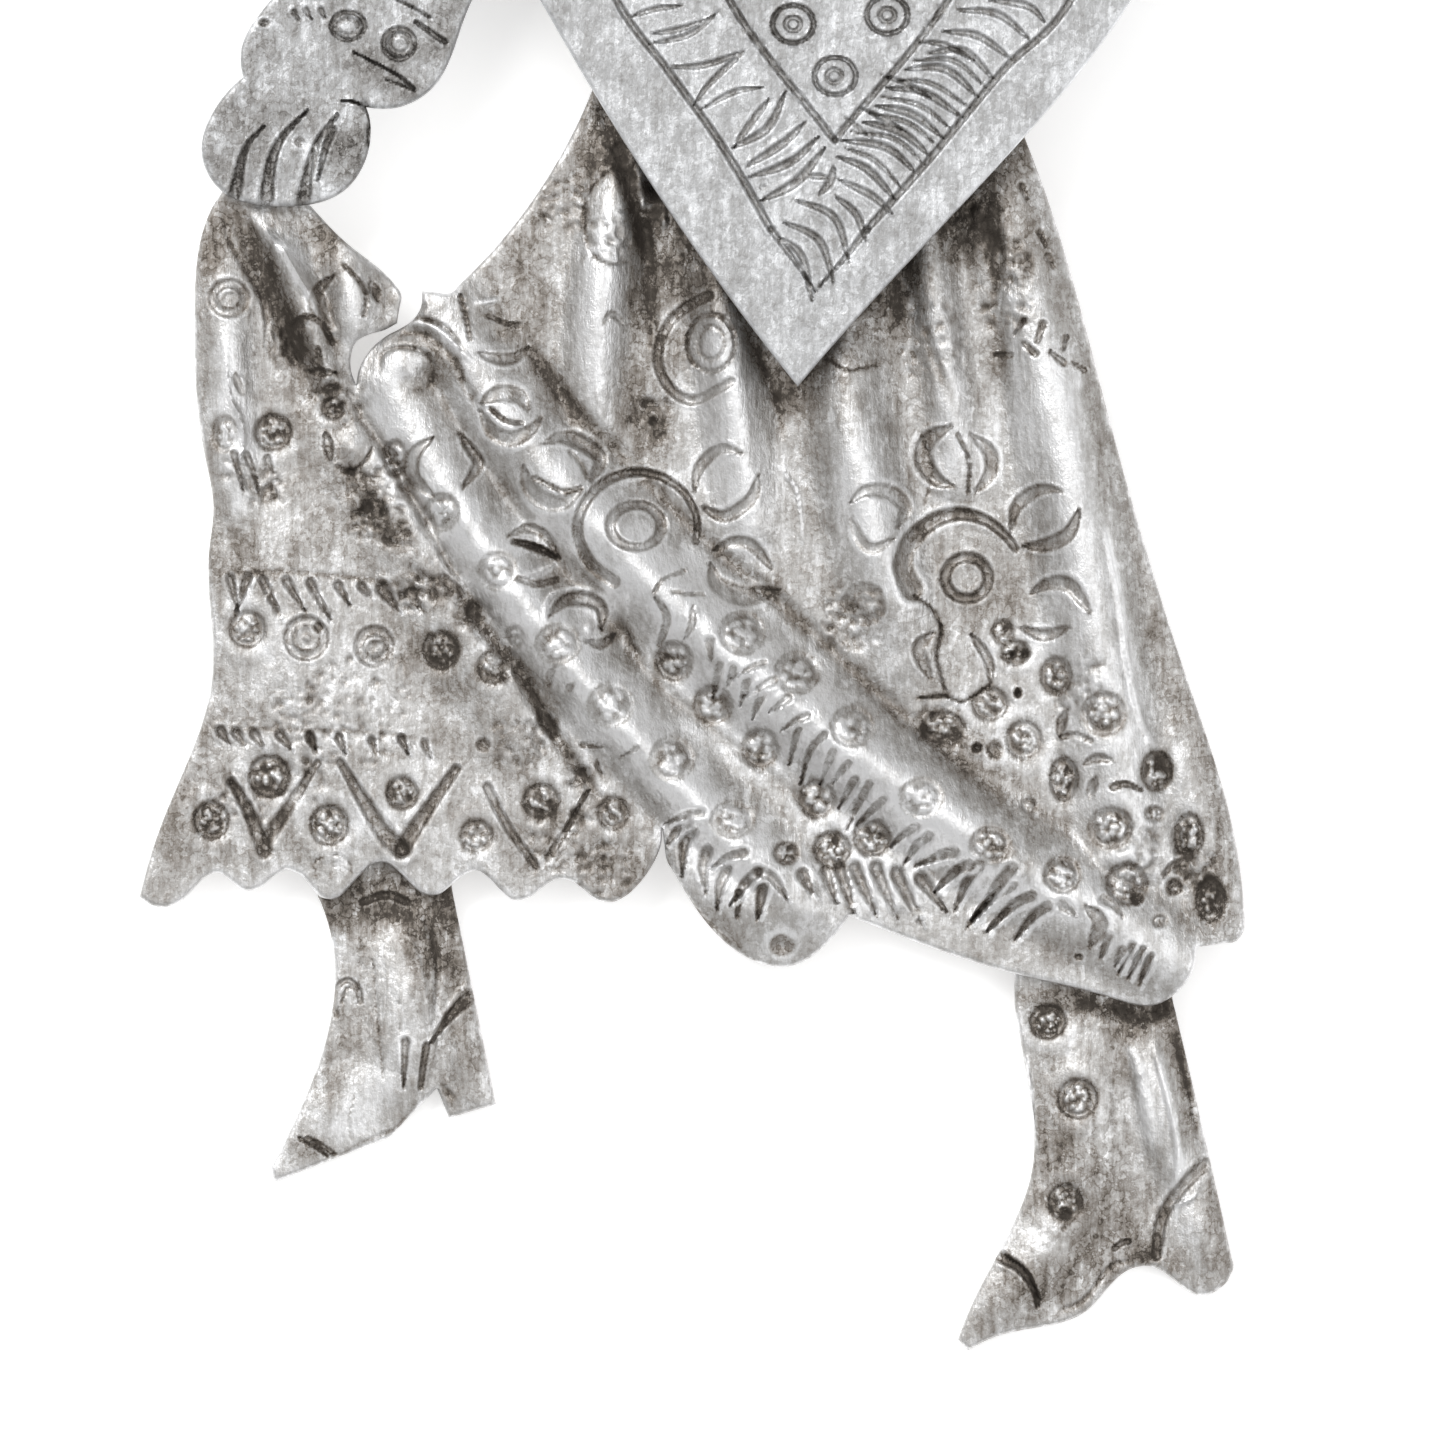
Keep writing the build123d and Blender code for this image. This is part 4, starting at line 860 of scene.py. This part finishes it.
def press_strokes(sheet, strokes):
    """Lenses, cuts, thorns, plain grooves and leaves, soft ones; a negative depth raises a ridge. Soft
    grooves darken with tarnish and painted shade, soft ridges brighten with a painted highlight, and thorns
    get a painted highlight on a ridge beside them.
    """
    for kind, width, end_width, depth, dark, *places in strokes:
        line = curve_through(places)
        reach = 2 * max(width, end_width) + 2
        near = sheet.near(line.min(axis=0) - reach, line.max(axis=0) + reach)
        if not len(near):
            continue
        distance, share, _ = beside_line(sheet.points[near], line)
        half = width + (end_width - width) * share
        if kind == "soft":
            profile = np.cos(math.pi / 2 * np.minimum(distance / half, 1)) ** 2 * tapered(share, SOFT_POWER)
            sheet.height[near] -= depth * profile
            # Tarnish and painted shade in a soft groove, and a painted highlight where a negative darkness
            # brightens a raised soft ridge
            sheet.dark[near] += dark * profile
            continue
        if kind in ("lens", "leaf"):
            half = half * tapered(share, LENS_POWER)
        elif kind == "thorn":
            half = width + (end_width - width) * share**THORN_POWER
        half = np.maximum(half, NARROWEST)
        t = distance / half
        if kind != "thorn":
            sheet.mark(kind, near, t, half, depth, dark)
            continue
        sheet.mark(kind, near, t, half, THORN_DEPTH * depth, THORN_DARK * dark)
        # A raised ridge beside the thorn, with a painted highlight on it
        beyond = beside_line(sheet.points[near] - RIDGE_SHIFT, line)[0]
        ridge = punched(beyond / half, RIDGE_WALL) * (1 - punched(t, RIDGE_WALL))
        sheet.height[near] += RIDGE_RISE * depth * ridge
        sheet.dark[near] -= RIDGE_PAINTED_HIGHLIGHT * ridge


def press_discs(sheet, discs):
    """Punched rosettes, rings, pits and raised bosses."""
    for number, (kind, x, y, across, down, depth, dark) in enumerate(discs):
        size = max(across, down)
        near = sheet.near((x - 2 * size, y - 2 * size), (x + 2 * size, y + 2 * size))
        if not len(near):
            continue
        off = (sheet.points[near] - (x, y)) / (across, down)
        t = np.hypot(off[:, 0], off[:, 1])
        if kind in BAND_HALVES:
            half = BAND_HALVES[kind]
            band = half / size
            sheet.mark(kind, near, np.abs(t - 1 + band) / band, half, depth, dark)
        elif kind == "boss":
            sheet.height[near] += depth * punched(t, 1)
            sheet.dark[near] += dark * punched(t, 1)
        else:
            sheet.mark(kind, near, t, size, depth, dark)
        if kind == "rosette":
            chance = np.random.default_rng(number)
            places = chance.uniform(-GRAIN_SPREAD, GRAIN_SPREAD, (GRAINS, 2))
            grain = np.zeros(len(near))
            for place, radius in zip(places, chance.uniform(*GRAIN_SIZES, GRAINS)):
                grain = np.maximum(grain, np.exp(-((off - place) ** 2).sum(axis=1) / radius**2))
            heart = punched(t / HEART, HEART_WALL)
            sheet.height[near] += depth * heart * (GRAIN_RISE * grain - HEART_DEPTH)
            sheet.dark[near] += heart * (dark * (HEART_DARK - GRAIN_CLEAN * grain) - GRAIN_BRIGHT * grain)


def press_stipple(sheet, patches):
    """Rough places: many small dents strewn over a square, with dirt in them."""
    for number, (x, y, size, count) in enumerate(patches):
        chance = np.random.default_rng(STIPPLE_SEED + number)
        for across, down, radius in chance.uniform(*STIPPLE_RANGE, (int(count), 3)):
            place = np.array((x + across * size, y + down * size))
            near = sheet.near(place - 3 * radius, place + 3 * radius)
            dent = np.exp(-((sheet.points[near] - place) ** 2).sum(axis=1) / radius**2)
            sheet.height[near] -= STIPPLE_DEPTH * dent
            sheet.dark[near] += STIPPLE_DARK * dent


def darken(sheet, patches):
    """Soft patches of tarnish and of painted shade; a negative strength is a bright place, rubbed silver in
    part and a painted highlight in part.
    """
    for degrees, strength, x, y, across, down in patches:
        turn = math.radians(degrees)
        off = sheet.points - (x, y)
        along = off[:, 0] * math.cos(turn) + off[:, 1] * math.sin(turn)
        beside = off[:, 1] * math.cos(turn) - off[:, 0] * math.sin(turn)
        sheet.dark += strength * np.exp(-((along / across) ** 2) - (beside / down) ** 2)


def fine_spots_of(strokes, discs, stipple):
    """Where the front needs its finest triangles: along every cut, over discs and rough places."""
    spots = [(x, y, DISC_REACH * max(across, down)) for _, x, y, across, down, _, _ in discs]
    spots += [(x, y, size) for x, y, size, _ in stipple]
    for kind, width, end_width, _, _, *places in strokes:
        if kind != "soft" or max(width, end_width) <= WIDE_SOFT:
            line = curve_through(places)
            halves = np.linspace(width, end_width, len(line))
            spots += [(x, y, STROKE_REACH * half + 2) for (x, y), half in zip(line, halves)]
    return spots


def grid_of(across, down):
    return np.stack(np.meshgrid(across, down, indexing="ij"), axis=-1)


def hollows(points, base, low, high):
    """How far each place lies below its surroundings, for the tarnish that gathers there."""
    across = np.arange(low[0] - HOLLOW_MARGIN, high[0] + HOLLOW_MARGIN, HOLLOW_PITCH)
    down = np.arange(low[1] - HOLLOW_MARGIN, high[1] + HOLLOW_MARGIN, HOLLOW_PITCH)
    heights = base(grid_of(across, down).reshape(-1, 2)).reshape(len(across), len(down))
    kernel = np.exp(-((np.arange(-HOLLOW_CELLS, HOLLOW_CELLS + 1) / HOLLOW_SPREAD) ** 2))
    kernel = kernel / kernel.sum()
    blurred = np.pad(heights, HOLLOW_CELLS, "edge")
    for axis in (0, 1):
        blurred = np.apply_along_axis(np.convolve, axis, blurred, kernel, "valid")
    lower = blurred - heights
    place = (points - (across[0], down[0])) / HOLLOW_PITCH
    cell = np.clip(place.astype(int), 0, np.array(lower.shape) - 2)
    (i, j), (u, v) = cell.T, (place - cell).T
    return (
        lower[i, j] * (1 - u) * (1 - v) + lower[i + 1, j] * u * (1 - v)
        + lower[i, j + 1] * (1 - u) * v + lower[i + 1, j + 1] * u * v
    )


def dents(points, seed):
    """Gentle unevenness left by the hammer."""
    chance = np.random.default_rng(seed)
    total = np.zeros(len(points))
    for _ in range(WAVES):
        length, turn = chance.uniform(*WAVE_LENGTHS), chance.uniform(0, math.pi)
        wave = points @ (math.cos(turn), math.sin(turn)) * 2 * math.pi / length
        total += WAVE_HEIGHT * np.sin(wave + chance.uniform(*WAVE_STARTS))
    return total


def level_of(name, side):
    out = to_pixels(mesh_arrays(name)[0])[:, 2]
    return out.min() if side == "back" else out.max()


THICK = level_of("shawl", "front") - level_of("shawl", "back")


def lattice(low, high, step):
    """Staggered rows of points over a box."""
    made = []
    for row, y in enumerate(np.arange(low[1], high[1], step * 0.866)):
        across = np.arange(low[0] + step * 0.5 * (row % 2), high[0], step)
        made.append(np.stack((across, np.full(len(across), y)), axis=1))
    return np.concatenate(made)


def triangulated(border, inner):
    """Triangles that turn the way the border does, over it and the points inside it."""
    coords = [tuple(p) for p in np.concatenate((border, inner))]
    places, _, faces, _, _, _ = geometry.delaunay_2d_cdt(coords, [], [list(range(len(border)))], 1, 1e-5)
    flat, faces = np.array([place[:] for place in places]), np.array([face[:] for face in faces])
    a, b, c = (flat[faces[:, k]] for k in range(3))
    area = ((b[:, 0] - a[:, 0]) * (c[:, 1] - a[:, 1]) - (b[:, 1] - a[:, 1]) * (c[:, 0] - a[:, 0])).sum()
    return flat, faces if area > 0 else faces[:, ::-1]


def kept_inside(border, points, clear):
    """The points inside a border, and further from it than a distance."""
    points = points[is_inside(border, points)]
    return points[distance_to_loop(border, points) > clear]


def front_points(border, fine_spots, step):
    """Points inside a border: close together over the marks, wider elsewhere, in rings along the rim."""
    low, high = border.min(axis=0), border.max(axis=0)
    shape = np.ceil((high - low) / CELL).astype(int) + 1
    fine = np.zeros(shape, bool)
    cells = grid_of(*(np.arange(n) + 0.5 for n in shape)) * CELL + low
    for x, y, reach in fine_spots:
        first = np.clip(((x, y) - low - reach) // CELL, 0, shape).astype(int)
        last = np.clip(((x, y) - low + reach) // CELL + 1, 0, shape).astype(int)
        block = slice(first[0], last[0]), slice(first[1], last[1])
        fine[block] |= np.linalg.norm(cells[block] - (x, y), axis=-1) < reach + CELL / 2

    def in_fine(points):
        return fine[tuple(((points - low) // CELL).astype(int).T)]

    close, coarse = lattice(low, high, step), lattice(low, high, COARSE_STEP)
    inner = np.concatenate((close[in_fine(close)], coarse[~in_fine(coarse)]))
    made = [kept_inside(border, inner, EDGE_ROUND * RIM_CLEAR)]
    rim = np.roll(border, -1, axis=0) - np.roll(border, 1, axis=0)
    inward = np.stack((-rim[:, 1], rim[:, 0]), axis=1) / np.linalg.norm(rim, axis=1)[:, None]
    for share in RIM_RINGS:
        ring = border + inward * share * EDGE_ROUND
        made.append(kept_inside(border, ring, share * EDGE_ROUND * RING_CLEAR))
    return np.concatenate(made)


def placed(name, data):
    """A new object in the scene."""
    made = bpy.data.objects.new(name, data)
    bpy.context.scene.collection.objects.link(made)
    return made


def make_sheet(node, kind, slot, folds, strokes, discs=(), patches=(), stipple=(), cap=None, shade=(),
               seed=1, tone=0.0, step=FINE_STEP):
    """A closed sheet: a finely chased front, a rounded rim, and a plain back that follows the folds."""
    border = borders[node]
    low, high = border.min(axis=0), border.max(axis=0)
    level = level_of(node, "front") if kind == "plate" else level_of(node, "back") + THICK

    def base(points):
        return sum((fold_heights(points, table) for table in folds), np.zeros(len(points)))

    def capped(points):
        return base(points) if cap is None else np.minimum(base(points), cap(points))

    spots = fine_spots_of(strokes, discs, stipple)
    flat, faces = triangulated(border, front_points(border, spots, step))
    sheet = Sheet(flat)
    sheet.height = base(flat) + dents(flat, seed)
    sheet.dark = hollows(flat, capped, low, high) * HOLLOW_TARNISH
    darken(sheet, patches)
    # Painted shadow on the dress around the plates that lie over it
    for other in shade:
        away = distance_to_loop(borders[other], flat)
        sheet.dark += SHADOW_DARK * np.exp(-((away / SHADOW_REACH) ** 2))
    # Kept between the brightest tone, rubbed silver and painted highlights alike, and the darkest
    sheet.dark = np.clip(sheet.dark + tone, -BRIGHTEST_TONE, DARKEST)
    press_strokes(sheet, strokes)
    press_discs(sheet, discs)
    press_stipple(sheet, stipple)
    if cap is not None:
        sheet.height = np.minimum(sheet.height, cap(flat))
    from_rim = distance_to_loop(border, flat)
    drop = np.clip(1 - from_rim / EDGE_ROUND, 0, 1)
    sheet.height -= EDGE_ROUND * (1 - np.sqrt(1 - drop * drop))
    sheet.height = np.maximum(sheet.height, capped(flat) - THICK + FLOOR_OF_MARKS)
    # A painted highlight along the rounded rim
    sheet.dark -= RIM_PAINTED_HIGHLIGHT * np.exp(-((from_rim / EDGE_ROUND) ** 2))

    plain = kept_inside(border, lattice(low, high, BACK_STEP), BACK_STEP / 2)
    back_flat, back_faces = triangulated(border, plain)
    start = len(flat)
    order = np.arange(len(border))
    after = np.roll(order, -1)
    wall = np.stack((order, after, after + start, order + start), axis=1)
    vertices = np.concatenate(
        (to_world(flat, level + sheet.height), to_world(back_flat, level - THICK + capped(back_flat)))
    )
    vertices = np.clip(vertices, np.array(cad_box[0]), np.array(cad_box[1]))
    mesh = bpy.data.meshes.new(f"{node}_{kind}")
    polygons = faces[:, ::-1].tolist() + wall.tolist() + (back_faces + start).tolist()
    mesh.from_pydata(vertices.tolist(), [], polygons)
    mesh.update()
    # Tarnish together with painted shade and painted highlights
    tarnish_and_painted_light = mesh.attributes.new("tarnish_and_painted_light", "FLOAT", "POINT")
    values = np.concatenate((sheet.dark, np.full(len(back_flat), BACK_TARNISH)))
    tarnish_and_painted_light.data.foreach_set("value", values.astype(np.float32))
    mesh.polygons.foreach_set("use_smooth", np.ones(len(mesh.polygons), bool))
    mesh.set_sharp_from_angle(angle=SHARP_ANGLE)
    mesh.materials.append(silvers[slot])
    piece = placed(f"{node}_{kind}", mesh)
    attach(piece, "root")
    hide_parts(node)


class Shader:
    """Short calls for the nodes of one procedural material, or of the world."""

    def __init__(self, owner, coordinates="Object"):
        owner.use_nodes = True
        self.owner = owner
        self.tree = owner.node_tree
        self.place = self.node("TexCoord", coordinates)

    def put(self, socket, value):
        """Link a socket to an output, or set it to a constant; None leaves it as it is."""
        if isinstance(value, bpy.types.NodeSocket):
            self.tree.links.new(value, socket)
        elif value is not None:
            socket.default_value = value

    def node(self, kind, output, **values):
        """One output of a new node whose sockets are filled by name."""
        made = self.tree.nodes.new("ShaderNode" + kind)
        for name, value in values.items():
            self.put(made.inputs[name], value)
        return made.outputs[output]

    def surface(self, **values):
        """Fill the surface's sockets by name, with an underscore for a space."""
        for name, value in values.items():
            self.put(self.tree.nodes["Principled BSDF"].inputs[name.replace("_", " ")], value)

    def noise(self, scale, detail=3, stretch=None, roughness=0.6):
        """A noise over the object in metres, with scale in cycles a metre."""
        place = self.place
        if stretch:
            turn = (0, 0, math.radians(stretch[0]))
            place = self.node("Mapping", "Vector", Rotation=turn, Scale=stretch[1], Vector=place)
        return self.node("TexNoise", "Fac", Scale=scale, Detail=detail, Roughness=roughness, Vector=place)

    def math(self, operation, *values):
        node = self.tree.nodes.new("ShaderNodeMath")
        node.operation = operation
        for socket, value in zip(node.inputs, values):
            self.put(socket, value)
        return node.outputs["Value"]

    def sway(self, value, weight, onto):
        """A weighted noise added to a value, up and down from the noise's middle."""
        return self.math("MULTIPLY_ADD", self.math("SUBTRACT", value, 0.5), weight, onto)

    def ramp(self, value, stops):
        """Colours, or greys given as one number, at positions along a value."""
        node = self.tree.nodes.new("ShaderNodeValToRGB")
        elements = node.color_ramp.elements
        while len(elements) < len(stops):
            elements.new(0.5)
        for element, (position, *color) in zip(elements, stops):
            element.position = position
            element.color = (*color, 1) if len(color) == 3 else (*color * 3, 1)
        self.put(node.inputs["Fac"], value)
        return node.outputs["Color"]


def silver(name, stops, mottle, blot, speckle, streak, streak_turn, polish):
    """Worn silver whose tarnish, painted shade and painted highlights come from the mesh, broken up by
    mottling, speckle and streaks.
    """
    shader = Shader(bpy.data.materials.new(name))
    held = shader.tree.nodes.new("ShaderNodeAttribute")
    held.attribute_name = "tarnish_and_painted_light"
    cloud = shader.noise(380, 4, None, 0.65)
    blotch = shader.noise(1150, 5, (streak_turn, (1.0, 0.6, 1.0)), 0.72)
    grain = shader.noise(3800, 4, None, 0.7)
    brushed = shader.noise(3200, 4, (streak_turn, (1.0, 0.15, 0.5)), 0.72)
    scratch = shader.noise(5200, 2, (streak_turn + 24, (1.0, 0.03, 0.5)), 0.5)
    vein = shader.math("ABSOLUTE", shader.math("SUBTRACT", shader.noise(1900, 3, None, 0.6), 0.5))
    vein = shader.math("MAXIMUM", shader.math("MULTIPLY_ADD", vein, -22, 1.0), 0.0)

    sharp = shader.math("MULTIPLY_ADD", shader.math("ADD", grain, brushed), 2.2, -1.75)
    patchy = shader.sway(blotch, 1.5, shader.math("MULTIPLY_ADD", cloud, 0.8, 0.2))
    patchy = shader.math("MULTIPLY_ADD", sharp, 0.35, patchy)
    patchy = shader.math("MULTIPLY_ADD", vein, 0.45, patchy)
    # Tarnish with painted shade and painted highlights, from the mesh
    tarnish_and_shading = shader.math("MAXIMUM", shader.math("ADD", held.outputs["Fac"], BRIGHTEST_TONE), 0.0)
    amount = shader.math("MULTIPLY", tarnish_and_shading, patchy)
    for noise, weight in ((cloud, mottle), (blotch, blot), (grain, speckle), (brushed, streak)):
        amount = shader.sway(noise, weight, amount)
    amount = shader.math("ADD", amount, 0.04)
    rough = shader.sway(grain, 0.3, shader.math("MULTIPLY_ADD", amount, 0.25, polish))
    lines = shader.ramp(scratch, [(0.60, 0), (0.66, 1)])
    normal = None
    for height, strength, depth in (
        (blotch, 0.8, 0.00012), (grain, 0.6, 0.00004), (brushed, 0.7, 0.00006), (vein, -0.35, 0.00003),
        (lines, 0.25, 0.00001),
    ):
        normal = shader.node(
            "Bump", "Normal", Strength=strength, Distance=depth, Height=height, Normal=normal
        )
    shader.surface(Base_Color=shader.ramp(amount, stops), Metallic=1.0, Roughness=rough, Normal=normal)
    return shader.owner


# Positions on the ramp and their colours
WARM_TARNISH = [
    (0.0, 0.79, 0.79, 0.795),
    (0.25, 0.50, 0.491, 0.48),
    (0.5, 0.335, 0.316, 0.297),
    (0.75, 0.21, 0.186, 0.162),
    (1.0, 0.10, 0.087, 0.075),
]
COOL_TARNISH = [
    (0.0, 0.76, 0.77, 0.785),
    (0.25, 0.45, 0.452, 0.455),
    (0.5, 0.30, 0.293, 0.285),
    (0.75, 0.18, 0.17, 0.16),
    (1.0, 0.08, 0.074, 0.068),
]
silvers = {
    "skirt_silver": silver("worn chased silver", WARM_TARNISH, 0.4, 0.45, 0.35, 0.5, 12, 0.42),
    "shawl_silver": silver("satin plate silver", COOL_TARNISH, 0.25, 0.3, 0.25, 0.35, 38, 0.46),
    "arm_silver": silver("satin arm silver", COOL_TARNISH, 0.4, 0.5, 0.25, 0.3, 60, 0.44),
    "boot_silver": silver("worn boot silver", WARM_TARNISH, 0.4, 0.45, 0.35, 0.55, 4, 0.42),
    "head_silver": silver("satin head silver", COOL_TARNISH, 0.3, 0.3, 0.25, 0.3, 0, 0.4),
    "pin_silver": silver("drawn wire silver", COOL_TARNISH, 0.4, 0.4, 0.3, 0.6, 90, 0.38),
}
nodes["pin"].data.materials.clear()
nodes["pin"].data.materials.append(silvers["pin_silver"])

borders = {
    name: smooth_loop(outline_of(name), BORDER_STEP)
    for name in ("dress", "shawl", "holding_arm", "raised_arm", "left_boot", "right_boot", "head")
}
dress_front = level_of("dress", "back") + THICK


def dress_cap(points):
    """The dress stays under the plates that lie over it."""
    limit = np.full(len(points), NO_LIMIT)
    for name in ("shawl", "holding_arm", "raised_arm", "head"):
        under = is_inside(borders[name], points)
        limit[under] = np.minimum(limit[under], level_of(name, "back") - dress_front - PLATE_CLEAR)
    return limit


def on_box(name, table, first=5, last=None):
    """Rows whose places are hundredths of a node's box, turned into pixel places."""
    low, high = borders[name].min(axis=0), borders[name].max(axis=0)
    made = []
    for row in table:
        share = np.array(row[first:last], float).reshape(-1, 2) / 100
        flat = np.stack((share[:, 0], 1 - share[:, 1]), axis=1) * (high - low) + low
        made.append([*row[:first], *flat.reshape(-1), *(row[last:] if last else [])])
    return made


def mirrored(table, first=5, last=None):
    """The rows once more on the other side of the face's middle line."""
    made = []
    for row in table:
        places = [2 * FACE_MIDDLE - v if k % 2 == 0 else v for k, v in enumerate(row[first:last])]
        made.append([*row[:first], *places, *(row[last:] if last else [])])
    return table + made


def hair_strands():
    """Strands from the middle parting round to the temple, between the crown and the hairline."""
    crown = np.array([52.6, 99, 24, 94, 6, 78, 9, 61])
    hairline = np.array([52.6, 88, 35, 85, 22, 74, 18, 60])
    shares = np.linspace(0.12, 0.88, 7)
    return [["cut", 1.8, 1.4, 2.6, 0.7, *(crown * (1 - share) + hairline * share)] for share in shares]


def band_leaves(outer, inner, bend, count=8):
    """Leaf strokes across a band of the shawl above the photographed ones."""
    made = []
    for share in np.linspace(0, 1, count):
        start, end = (np.array(side[0]) * (1 - share) + np.array(side[1]) * share for side in (outer, inner))
        gap = (end - start) * LEAF_GAP
        start, end = start + gap, end - gap
        made.append(["leaf", 3.6, 3.6, 3.2, 0.5, *start, *((start + end) / 2 + bend), *end])
    return made


make_sheet(
    "dress", "sheet", "skirt_silver", [SKIRT_FOLDS], SKIRT_STROKES, SKIRT_DISCS, SKIRT_PATCHES,
    SKIRT_STIPPLE, dress_cap, ["shawl"], seed=3, tone=DRESS_TONE, step=DRESS_STEP,
)
between = [
    ["leaf", 2.6, 2.6, 2.4, dark, *(v + LEAF_SHIFT * (-1) ** k for k, v in enumerate(places))]
    for _, _, _, _, dark, *places in SHAWL_BAND
]
upper_leaves = band_leaves([(612, -14), (545, -160)], [(716, -30), (664, -150)], (6, 8))
upper_leaves += band_leaves([(1058, -14), (1146, -160)], [(974, -40), (1028, -150)], (4, -9))
make_sheet(
    "shawl", "plate", "shawl_silver", [], SHAWL_STROKES + SHAWL_BAND + between + upper_leaves, SHAWL_DISCS,
    seed=5, tone=SHAWL_TONE,
)
make_sheet(
    "holding_arm", "plate", "arm_silver", [], HOLDING_STROKES, HOLDING_DISCS, HOLDING_PATCHES,
    seed=7, tone=ARM_TONE,
)
make_sheet(
    "raised_arm", "plate", "arm_silver", [], on_box("raised_arm", RAISED_LINES),
    on_box("raised_arm", RAISED_DISCS, 1, 3), seed=9, tone=ARM_TONE,
)
make_sheet(
    "head", "sheet", "head_silver", [on_box("head", HEAD_FORMS, 0, 6), on_box("head", FACE_FORMS, 0, 6)],
    on_box("head", mirrored(HALF_FACE + hair_strands()) + FACE_LINES),
    on_box("head", mirrored(HALF_FACE_DISCS, 1, 3), 1, 3), seed=15,
)
make_sheet(
    "left_boot", "sheet", "boot_silver", [LEFT_BOOT_FOLDS], LEFT_BOOT_STROKES, [], LEFT_BOOT_PATCHES,
    seed=11, tone=BOOT_TONE,
)
make_sheet(
    "right_boot", "sheet", "boot_silver", [RIGHT_BOOT_FOLDS], RIGHT_BOOT_STROKES, RIGHT_BOOT_DISCS,
    RIGHT_BOOT_PATCHES, seed=13, tone=BOOT_TONE,
)

floor_mesh = bpy.data.meshes.new("floor")
floor_mesh.from_pydata([(-1, -1, 0), (1, -1, 0), (1, 1, 0), (-1, 1, 0)], [], [(0, 1, 2, 3)])
floor = placed("floor", floor_mesh)
paper = Shader(bpy.data.materials.new("white paper"))
paper.surface(
    Base_Color=paper.ramp(paper.noise(60), [(0.0, 0.93), (1.0, 0.96)]), Roughness=0.9,
    Emission_Color=(1, 1, 1, 1), Emission_Strength=0.4, Specular_IOR_Level=0.1,
)
floor_mesh.materials.append(paper.owner)

camera_data = bpy.data.cameras.new("camera")
camera_data.lens = 600
camera_data.sensor_width = 36
camera = placed("camera", camera_data)
bpy.context.scene.camera = camera
distance = VIEW * PIXEL * camera_data.lens / camera_data.sensor_width
middle = to_world(np.array([[VIEW / 2, VIEW / 2]]), np.array([dress_front + AIM_HEIGHT]))[0]
turn = Matrix([list(RIGHT), list(UP), list(OUT)]).transposed().to_4x4()
camera.matrix_world = Matrix.Translation(middle + OUT * distance) @ turn
camera_data.clip_start, camera_data.clip_end = 0.01, 10


def softbox(name, place, power, size):
    """A square area light turned to face the middle of the brooch."""
    data = bpy.data.lights.new(name, "AREA")
    data.energy, data.size = power, size
    lamp = placed(name, data)
    lamp.location = place
    lamp.rotation_euler = (-lamp.location).to_track_quat("-Z", "Y").to_euler()


softbox("key_softbox", (-0.22, 0.26, 0.42), 1.7, 0.3)
softbox("fill_softbox", (0.35, -0.1, 0.45), 0.5, 0.3)
world = bpy.data.worlds.new("world")
bpy.context.scene.world = world
sky = Shader(world, "Generated")
rising = sky.node("SeparateXYZ", "Z", Vector=sky.place)
background = sky.tree.nodes["Background"].inputs
sky.put(background["Color"], sky.ramp(rising, [(0.0, 0.75), (0.35, 0.75), (0.75, 0.95), (1.0, 1.15)]))
background["Strength"].default_value = 0.8

bpy.context.scene.view_settings.view_transform = "Standard"
